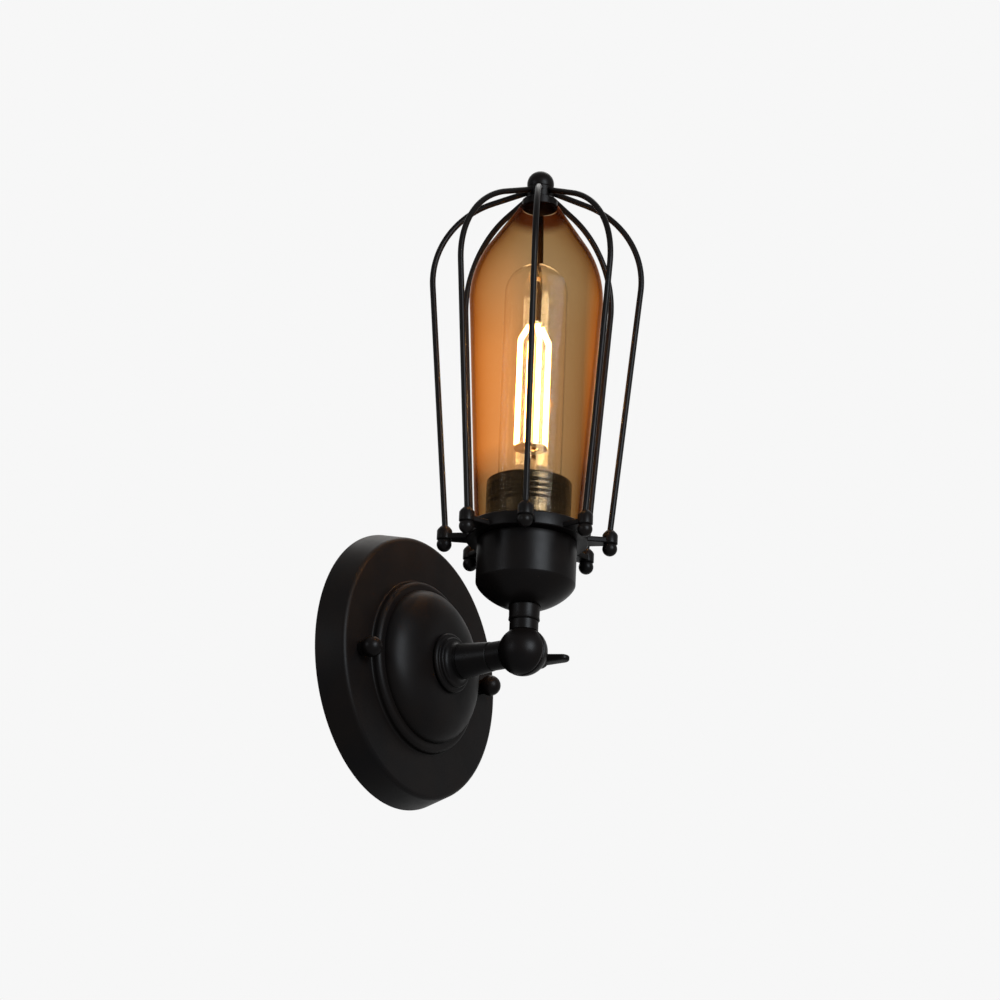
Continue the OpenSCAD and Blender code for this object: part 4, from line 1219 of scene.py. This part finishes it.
@dataclass
class Cage:
    """The foot ring with its ears, the eight wires, the hub and the finial."""

    build: Builder
    count: int = 8
    turn: float = 32.0
    foot_z: float = 53.0
    foot_t: float = 3.0
    foot_r: float = 28.5
    hole_r: float = 20.05
    lip_h: float = 3.0
    lip_t: float = 1.3
    ear_circle: float = 38.4
    ear_r: float = 3.6
    ear_root: float = 1.24
    ear_tip: float = 0.8
    boss_h: float = 1.5
    cone_h: float = 2.2
    nut_d: float = 7.0
    nut_sink: float = 0.3
    wire_r: float = 1.4
    wire_below: float = 4.0
    wire_in_hub: float = 1.7
    foot_bend: float = 14.0
    widest: float = 49.3
    shoulder: float = 42.0
    rise: float = 21.0
    roof_z: float = 228.8
    hub_r: float = 6.5
    hub_h: float = 6.8
    hub_below: float = 4.2
    stud_r: float = 2.0
    hub_foot_r: float = 8.4
    hub_foot_h: float = 4.1
    finial_d: float = 12.8
    finial_rise: float = 0.15

    @property
    def ear_top(self) -> float:
        """Height of the ears' bosses."""
        return self.foot_z + self.foot_t + self.boss_h

    @property
    def hub_z(self) -> float:
        """Height of the hub's underside."""
        return self.roof_z - self.hub_below

    def placed(self, bm: Mesh, index: int) -> Mesh:
        """Puts a mesh drawn at a wire's foot in its place round the cage."""
        turn = Matrix.Rotation(math.radians(self.turn + 360.0 / self.count * index), 4, "Z")
        return moved(bm, AT_BALL @ turn @ Matrix.Translation((self.ear_circle, 0, 0)))

    def ear(self) -> Mesh:
        """Gives one ear, drawn round its boss.

        Returns:
            Its mesh.
        """
        reach = self.ear_circle - self.foot_r + 1.0
        root, tip = self.ear_r * self.ear_root, self.ear_r * self.ear_tip
        outline = [(-reach, -root), (0.0, -tip), (0.0, tip), (-reach, root)]
        bm = slab(outline, self.foot_z + 0.2, self.foot_t - 0.4)
        bmesh.ops.recalc_face_normals(bm, faces=bm.faces)
        bevelled(bm, 0.5, 3)
        low, top, neck = self.foot_z, self.ear_top + self.cone_h, self.wire_r + 0.5
        profile = [(0.0, low), (self.ear_r - 0.4, low), (self.ear_r, low + 0.4), (self.ear_r, self.ear_top)]
        profile += [(self.ear_r - 0.5, self.ear_top + 0.9), (neck + 0.3, top - 0.3), (neck, top), (0.0, top)]
        return carved(spun(profile, 40, closed=False), [("UNION", bm)])

    def foot(self) -> Mesh:
        """Gives the foot ring with all its ears.

        Returns:
            Its mesh.
        """
        low, top, r, lip = self.foot_z, self.foot_z + self.foot_t, self.foot_r, self.lip_t
        rim = top + self.lip_h - 0.3
        profile = [(self.hole_r, low), (r - 0.4, low), (r, low + 0.4), (r, rim)]
        profile += arc((r - lip / 2, rim), lip / 2, 0, 180, 6)
        profile += [(r - lip, top + 0.3), (r - lip - 0.3, top), (self.hole_r, top)]
        ring = moved(spun(profile, 192), AT_BALL)
        return carved(ring, [("UNION", self.placed(self.ear(), i)) for i in range(self.count)])

    def wire(self) -> Mesh:
        """Gives one wire, drawn round its foot with +X outwards.

        It stands up from its ear, leans out, and turns over a shoulder into the straight roof. Its lean is
        found in a few rounds, because the bend at its foot moves the start of the leaning leg.

        Returns:
            Its mesh.
        """
        rise, base = math.radians(self.rise), self.ear_top + self.cone_h
        middle = self.widest - self.shoulder
        roof_r = middle + self.shoulder * math.sin(rise)
        roof_start = self.roof_z - (roof_r - self.hub_r) * math.tan(rise)
        centre_z = roof_start - self.shoulder * math.cos(rise)
        lean, across, up = math.radians(5.0), 0.0, 0.0
        for last in (False,) * 6 + (True,):
            across = self.ear_circle + self.foot_bend * (1 - math.cos(lean)) - middle
            up = centre_z - base - self.foot_bend * math.sin(lean)
            if not last:
                lean = math.atan2(up, across) - math.acos(self.shoulder / math.hypot(across, up))
        leg = math.sqrt(across ** 2 + up ** 2 - self.shoulder ** 2)
        rod = Rod(self.wire_r, Matrix.Translation((0, 0, self.foot_z - self.wire_below)), 20)
        rod.straight(base - self.foot_z + self.wire_below)
        rod.bend(self.foot_bend, -math.degrees(lean), 6).straight(leg, 6)
        rod.bend(self.shoulder, math.degrees(lean) + 90 - self.rise, 40)
        return rod.straight((roof_r - self.hub_r) / math.cos(rise) + self.wire_in_hub, 2).end()

    def nut(self) -> Mesh:
        """Gives one ball nut under an ear.

        Returns:
            Its mesh.
        """
        ball_r = self.nut_d / 2
        centre = self.foot_z - self.nut_d * self.nut_sink
        high = math.degrees(math.asin((self.foot_z - centre - 0.2) / ball_r))
        profile = arc((0.0, centre), ball_r, -90, high, 24)
        return spun(profile + [(profile[-1][0] - 0.2, self.foot_z), (0.0, self.foot_z)], 40, closed=False)

    def hub(self) -> Mesh:
        """Gives the hub.

        Returns:
            Its mesh.
        """
        low, r, foot, edge = self.hub_z, self.hub_r, self.hub_foot_r, 0.4
        base, top, bore = low - self.hub_foot_h, low + self.hub_h, self.stud_r + 0.05
        profile = [(0.0, base), (foot - edge, base), (foot, base + edge), (foot, low)]
        profile += [(foot - edge, low + edge), (r, low + edge), (r, top - 0.6), (r - 0.6, top)]
        profile += [(bore, top), (bore, low - 1.0), (0.0, low - 1.0)]
        return spun(profile, 64)

    def finial(self) -> Mesh:
        """Gives the finial's ball and its stud.

        Returns:
            Its mesh.
        """
        base = self.hub_z + self.hub_h
        centre, r = base + self.finial_d * self.finial_rise, self.finial_d / 2
        low = -math.degrees(math.asin((centre - base) / r))
        profile = [(0.0, self.hub_z + 0.5), (self.stud_r, self.hub_z + 0.5), (self.stud_r, base)]
        return spun(profile + arc((0.0, centre), r, low, 90, 30), 72, closed=False)

    def make(self) -> None:
        """Builds the cage's pieces."""
        f = self.build.finishes
        self.build.piece("cage_foot_ring", self.foot(), f.wire, Body.HEAD, Slot.BLACK, ["gallery_ring"])
        for i in range(self.count):
            self.build.piece(f"cage_wire_{i + 1}_piece", self.placed(self.wire(), i), f.wire, Body.HEAD,
                             Slot.BLACK, [f"cage_wire_{i + 1}"])
        nuts = joined(self.placed(self.nut(), i) for i in range(self.count))
        self.build.piece("wire_ball_nuts", nuts, f.wire, Body.HEAD, Slot.BLACK, ["wire_nuts"])
        for node, bm, finish in (("cage_hub", self.hub(), f.wire), ("finial", self.finial(), f.paint)):
            self.build.piece(node + "_piece", moved(bm, AT_BALL), finish, Body.HEAD, Slot.BLACK, [node])


@dataclass
class AmberGlass:
    """The blown glass that stands on the foot ring."""

    build: Builder
    foot_r: float = 24.4
    foot_z: float = 56.0
    wide_r: float = 31.5
    wide_z: float = 174.0
    shoulder: float = 47.0
    lean: float = 34.0
    mouth_r: float = 8.4
    wall: float = 1.8

    def line(self, t: float) -> list[Point]:
        """Gives the line of the glass.

        Args:
            t: Depth inside its skin.

        Returns:
            Its points, from the foot to the mouth.
        """
        lean, rows = math.radians(self.lean), 12
        wider, taller = self.wide_r - self.foot_r, self.wide_z - self.foot_z
        taper = math.degrees(math.atan(wider / taller))
        inwards = self.wide_r - self.shoulder * (1 - math.cos(lean)) - self.mouth_r - self.wall
        top = self.wide_z + self.shoulder * math.sin(lean) + inwards / math.tan(lean)
        points = [(self.foot_r - t + (0.3 if t else -0.3), self.foot_z),
                  (self.foot_r - t, self.foot_z + 0.4)]
        points += [(self.foot_r - t + wider * i / rows, self.foot_z + taller * i / rows - 0.001)
                   for i in range(1, rows)]
        middle = (self.wide_r - self.shoulder, self.wide_z)
        points += arc(middle, self.shoulder - t, -taper * 0.8, self.lean, 40)
        return points + [(self.mouth_r + self.wall - t, top - t * math.sin(lean))]

    def make(self) -> None:
        """Builds the glass."""
        outer, inner = self.line(0.0), self.line(self.wall)
        lip = arc((self.mouth_r + self.wall / 2, outer[-1][1]), self.wall / 2, 0, 180, 8)[1:-1]
        bm = moved(spun(outer + lip + inner[::-1], 192), AT_BALL)
        self.build.piece("glass_shade_piece", bm, self.build.finishes.amber, Body.HEAD, Slot.AMBER,
                         ["glass_shade"], 50.0)


@dataclass
class Bulb:
    """The clear tubular bulb with its glowing strips."""

    build: Builder
    radius: float = 15.0
    neck_r: float = 11.5
    neck_z: float = 70.5
    neck_top: float = 76.5
    neck_flare: float = 12.0
    top: float = 191.8
    wall: float = 0.8
    strip_z: float = 100.3
    strip_l: float = 52.0
    strip_r: float = 1.3
    strip_at: float = 7.0
    strip_turn: float = 52.0
    strip_bend: float = 1.6
    tip_rise: float = 8.6
    tip_at: float = 2.6
    strips: int = 4
    stem: tuple[Point, ...] = ((0.0, 71.4), (9.5, 71.4), (7.0, 73.0), (4.2, 77.0), (3.1, 83.0), (3.0, 92.0),
                               (2.2, 94.0), (0.0, 94.4))

    def skin(self, t: float) -> list[Point]:
        """Gives the envelope's line.

        Args:
            t: Depth inside its skin.

        Returns:
            Its points, from the neck to the top.
        """
        neck, wide, rows = self.neck_r - t, self.radius - t, 12
        points = [(neck, self.neck_z + t), (neck, self.neck_top)]
        points += [(neck + (wide - neck) * (1 - math.cos(math.pi * i / rows)) / 2,
                    self.neck_top + self.neck_flare * i / rows) for i in range(1, rows + 1)]
        return points + arc((0.0, self.top - self.radius), wide, 0, 90, 30)

    def strip(self) -> Mesh:
        """Gives one glowing strip with its slanted tip, drawn at its foot.

        Returns:
            Its mesh.
        """
        inwards = self.strip_at - self.tip_at
        slant = math.degrees(math.atan2(inwards, self.tip_rise))
        rod = Rod(self.strip_r, Matrix.Identity(4), 12)
        rod.straight(self.strip_l, 4).bend(self.strip_bend, slant, 5)
        return rod.straight(math.hypot(inwards, self.tip_rise) - self.strip_bend).end()

    def make(self) -> None:
        """Builds the bulb's pieces."""
        f = self.build.finishes
        outer = spun([(0.0, self.neck_z)] + self.skin(0.0), 96, closed=False)
        hollow = spun([(0.0, self.neck_z + self.wall)] + self.skin(self.wall), 96, closed=False)
        bmesh.ops.reverse_faces(hollow, faces=hollow.faces)
        envelope = moved(joined([outer, hollow]), AT_BALL)
        self.build.piece("bulb_glass", envelope, f.clear, Body.BULB, Slot.CLEAR, ["bulb_envelope"], 60.0)
        rods = []
        for i in range(self.strips):
            turn = Matrix.Rotation(math.radians(self.strip_turn + 360.0 / self.strips * i), 4, "Z")
            foot = turn @ Matrix.Translation((self.strip_at, 0, self.strip_z))
            rods.append(moved(self.strip(), AT_BALL @ foot))
        self.build.piece("glowing_strips", joined(rods), f.glow, Body.BULB, Slot.FILAMENT, ["filaments"])
        stem = moved(spun(self.stem, 48, closed=False), AT_BALL)
        self.build.piece("bulb_stem_piece", stem, f.clear, Body.BULB, Slot.CLEAR, ["bulb_stem"], 50.0)
        for node, finish, slot in (
            ("bulb_cap", f.brass, Slot.BRASS), ("bulb_insulator", f.black_glass, Slot.INSULATOR),
            ("bulb_tip", f.solder, Slot.SOLDER), ("filament_wires", f.support, Slot.SUPPORT),
        ):
            self.build.copied(node + "_piece", node, finish, Body.BULB, slot, 0.1)


# ---------------------------------------------------------------- the studio


@dataclass
class Studio:
    """The pale floor, the soft lights, the background and the camera."""

    azimuth: float = -55.74
    elevation: float = -19.48
    roll: float = 2.30
    shift: tuple[float, float] = (-4.71, -16.34)
    distance: float = 2202.03
    focal_px: float = 4722.09
    aim: Triple = (0.0, -50.0, 60.0)
    lamps_at: float = 1.6
    page: float = 0.93
    sky: Triple = (0.9, 0.93, 1.0)
    sky_level: float = 0.35
    floor_grey: float = 0.86
    floor_half: float = 4.0
    floor_at: Triple = (0.0, -1.0, -0.95)

    def axes(self) -> tuple[Vector, Vector, Vector]:
        """Gives the camera's right, up and forward directions.

        Returns:
            The three of them, as vectors of length one.
        """
        a, e, r = (math.radians(v) for v in (self.azimuth, self.elevation, self.roll))
        forward = -Vector((math.sin(a) * math.cos(e), -math.cos(a) * math.cos(e), math.sin(e)))
        right = forward.cross(Vector((0, 0, 1))).normalized()
        up = right.cross(forward)
        return (right * math.cos(r) + up * math.sin(r), up * math.cos(r) - right * math.sin(r), forward)

    def camera(self) -> None:
        """Places the camera as the photograph's."""
        right, up, forward = self.axes()
        place = (Vector(self.aim) - right * self.shift[0] - up * self.shift[1] - forward * self.distance) * MM
        data = bpy.data.cameras.new("photo_camera")
        data.sensor_fit = "HORIZONTAL"
        data.sensor_width = 36.0
        data.lens = data.sensor_width * self.focal_px / 1000.0
        data.clip_end = 50.0
        obj = bpy.data.objects.new("photo_camera", data)
        turn = Matrix((right, up, -forward)).transposed().to_4x4()
        obj.matrix_world = Matrix.Translation(place) @ turn
        bpy.context.scene.collection.objects.link(obj)
        bpy.context.scene.camera = obj

    def lamp(self, name: str, side: float, rise: float, near: float, size: tuple[float, float], power: float,
             colour: Triple) -> None:
        """Adds a soft lamp that faces the light.

        Args:
            name: The lamp's name.
            side: Its direction to the camera's right.
            rise: Its direction up.
            near: Its direction towards the camera.
            size: Its width and height in metres.
            power: Its power in watts.
            colour: Its colour.
        """
        right, up, forward = self.axes()
        data = bpy.data.lights.new(name, "AREA")
        data.shape = "RECTANGLE"
        data.size, data.size_y = size
        data.energy = power
        data.color = colour
        way = (right * side + up * rise - forward * near).normalized()
        obj = bpy.data.objects.new(name, data)
        place = Vector(self.aim) * MM + way * self.lamps_at
        obj.matrix_world = Matrix.Translation(place) @ way.to_track_quat("Z", "Y").to_matrix().to_4x4()
        bpy.context.scene.collection.objects.link(obj)

    def page_shader(self, tree: bpy.types.NodeTree, plain: Socket, share: float = 1.0) -> Socket:
        """Shows the pale page to camera, glossy and transmission rays, and another shader to the rest.

        Args:
            tree: The world's or the material's nodes.
            plain: The shader that the other rays see.
            share: How far the page hides the plain shader.

        Returns:
            The mixed shader.
        """
        path = tree.nodes.new("ShaderNodeLightPath")
        total = None
        for name in ("Is Camera Ray", "Is Glossy Ray", "Is Transmission Ray"):
            if total is None:
                total = path.outputs[name]
                continue
            most = tree.nodes.new("ShaderNodeMath")
            most.operation = "MAXIMUM"
            tree.links.new(total, most.inputs[0])
            tree.links.new(path.outputs[name], most.inputs[1])
            total = most.outputs[0]
        part = tree.nodes.new("ShaderNodeMath")
        part.operation = "MULTIPLY"
        part.inputs[1].default_value = share
        tree.links.new(total, part.inputs[0])
        mix = tree.nodes.new("ShaderNodeMixShader")
        kind = "ShaderNodeBackground" if tree.nodes.get("World Output") else "ShaderNodeEmission"
        page = tree.nodes.new(kind)
        page.inputs["Color"].default_value = (self.page, self.page, self.page, 1.0)
        page.inputs["Strength"].default_value = 1.0
        tree.links.new(part.outputs[0], mix.inputs["Fac"])
        tree.links.new(plain, mix.inputs[1])
        tree.links.new(page.outputs[0], mix.inputs[2])
        return mix.outputs[0]

    def world(self) -> None:
        """Makes the pale background and a low even light."""
        world = bpy.data.worlds.new("studio")
        world.use_nodes = True
        bpy.context.scene.world = world
        tree = world.node_tree
        plain = tree.nodes["Background"]
        plain.inputs["Color"].default_value = (*self.sky, 1.0)
        plain.inputs["Strength"].default_value = self.sky_level
        tree.links.new(self.page_shader(tree, plain.outputs[0]), tree.nodes["World Output"].inputs["Surface"])

    def floor(self) -> None:
        """Makes a pale floor well below the light."""
        bm = bmesh.new()
        place = Matrix.Translation(self.floor_at)
        bmesh.ops.create_grid(bm, x_segments=1, y_segments=1, size=self.floor_half, matrix=place)
        data = bpy.data.meshes.new("floor")
        bm.to_mesh(data)
        bm.free()
        material = bpy.data.materials.new("pale_floor")
        material.use_nodes = True
        tree = material.node_tree
        shader = tree.nodes["Principled BSDF"]
        shader.inputs["Base Color"].default_value = (*(self.floor_grey,) * 3, 1.0)
        shader.inputs["Roughness"].default_value = 0.9
        mixed = self.page_shader(tree, shader.outputs[0], 0.8)
        tree.links.new(mixed, tree.nodes["Material Output"].inputs["Surface"])
        data.materials.append(material)
        obj = bpy.data.objects.new("floor", data)
        bpy.context.scene.collection.objects.link(obj)

    def make(self) -> None:
        """Builds the studio."""
        bpy.context.scene.view_settings.view_transform = "Standard"
        self.camera()
        self.world()
        self.floor()
        self.lamp("window", 0.55, 0.42, 0.70, (0.75, 0.9), 78.0, (0.86, 0.93, 1.0))
        self.lamp("left_fill", -0.8, 0.35, 0.5, (0.4, 0.6), 9.0, (0.88, 0.93, 1.0))
        self.lamp("back_fill", 0.1, 0.6, -0.8, (0.8, 0.8), 6.0, (1.0, 0.98, 0.95))


def glow_lamp() -> None:
    """Adds the warm light of the bulb, which its glass lets through."""
    data = bpy.data.lights.new("bulb_glow", "POINT")
    data.energy = 1.1
    data.color = (1.0, 0.42, 0.12)
    data.shadow_soft_size = 0.012
    obj = bpy.data.objects.new("bulb_glow", data)
    obj.location = (0.0, -BALL_REACH * MM, 0.13)
    obj.visible_transmission = False
    bpy.context.scene.collection.objects.link(obj)
    for name in ("glass_shade_piece", "bulb_glass", "bulb_stem_piece", "glowing_strips"):
        bpy.data.objects[name].visible_shadow = False


def main() -> None:
    """Builds every sub-assembly, then the studio."""
    logging.basicConfig(level=logging.INFO, format="%(name)s: %(message)s")
    build = Builder()
    for part in (WallPlate(build), Arm(build), Knuckle(build), Holder(build), Cage(build), AmberGlass(build),
                 Bulb(build)):
        LOG.info("building %s", type(part).__name__)
        part.make()
    Studio().make()
    glow_lamp()


if __name__ == "__main__":
    main()
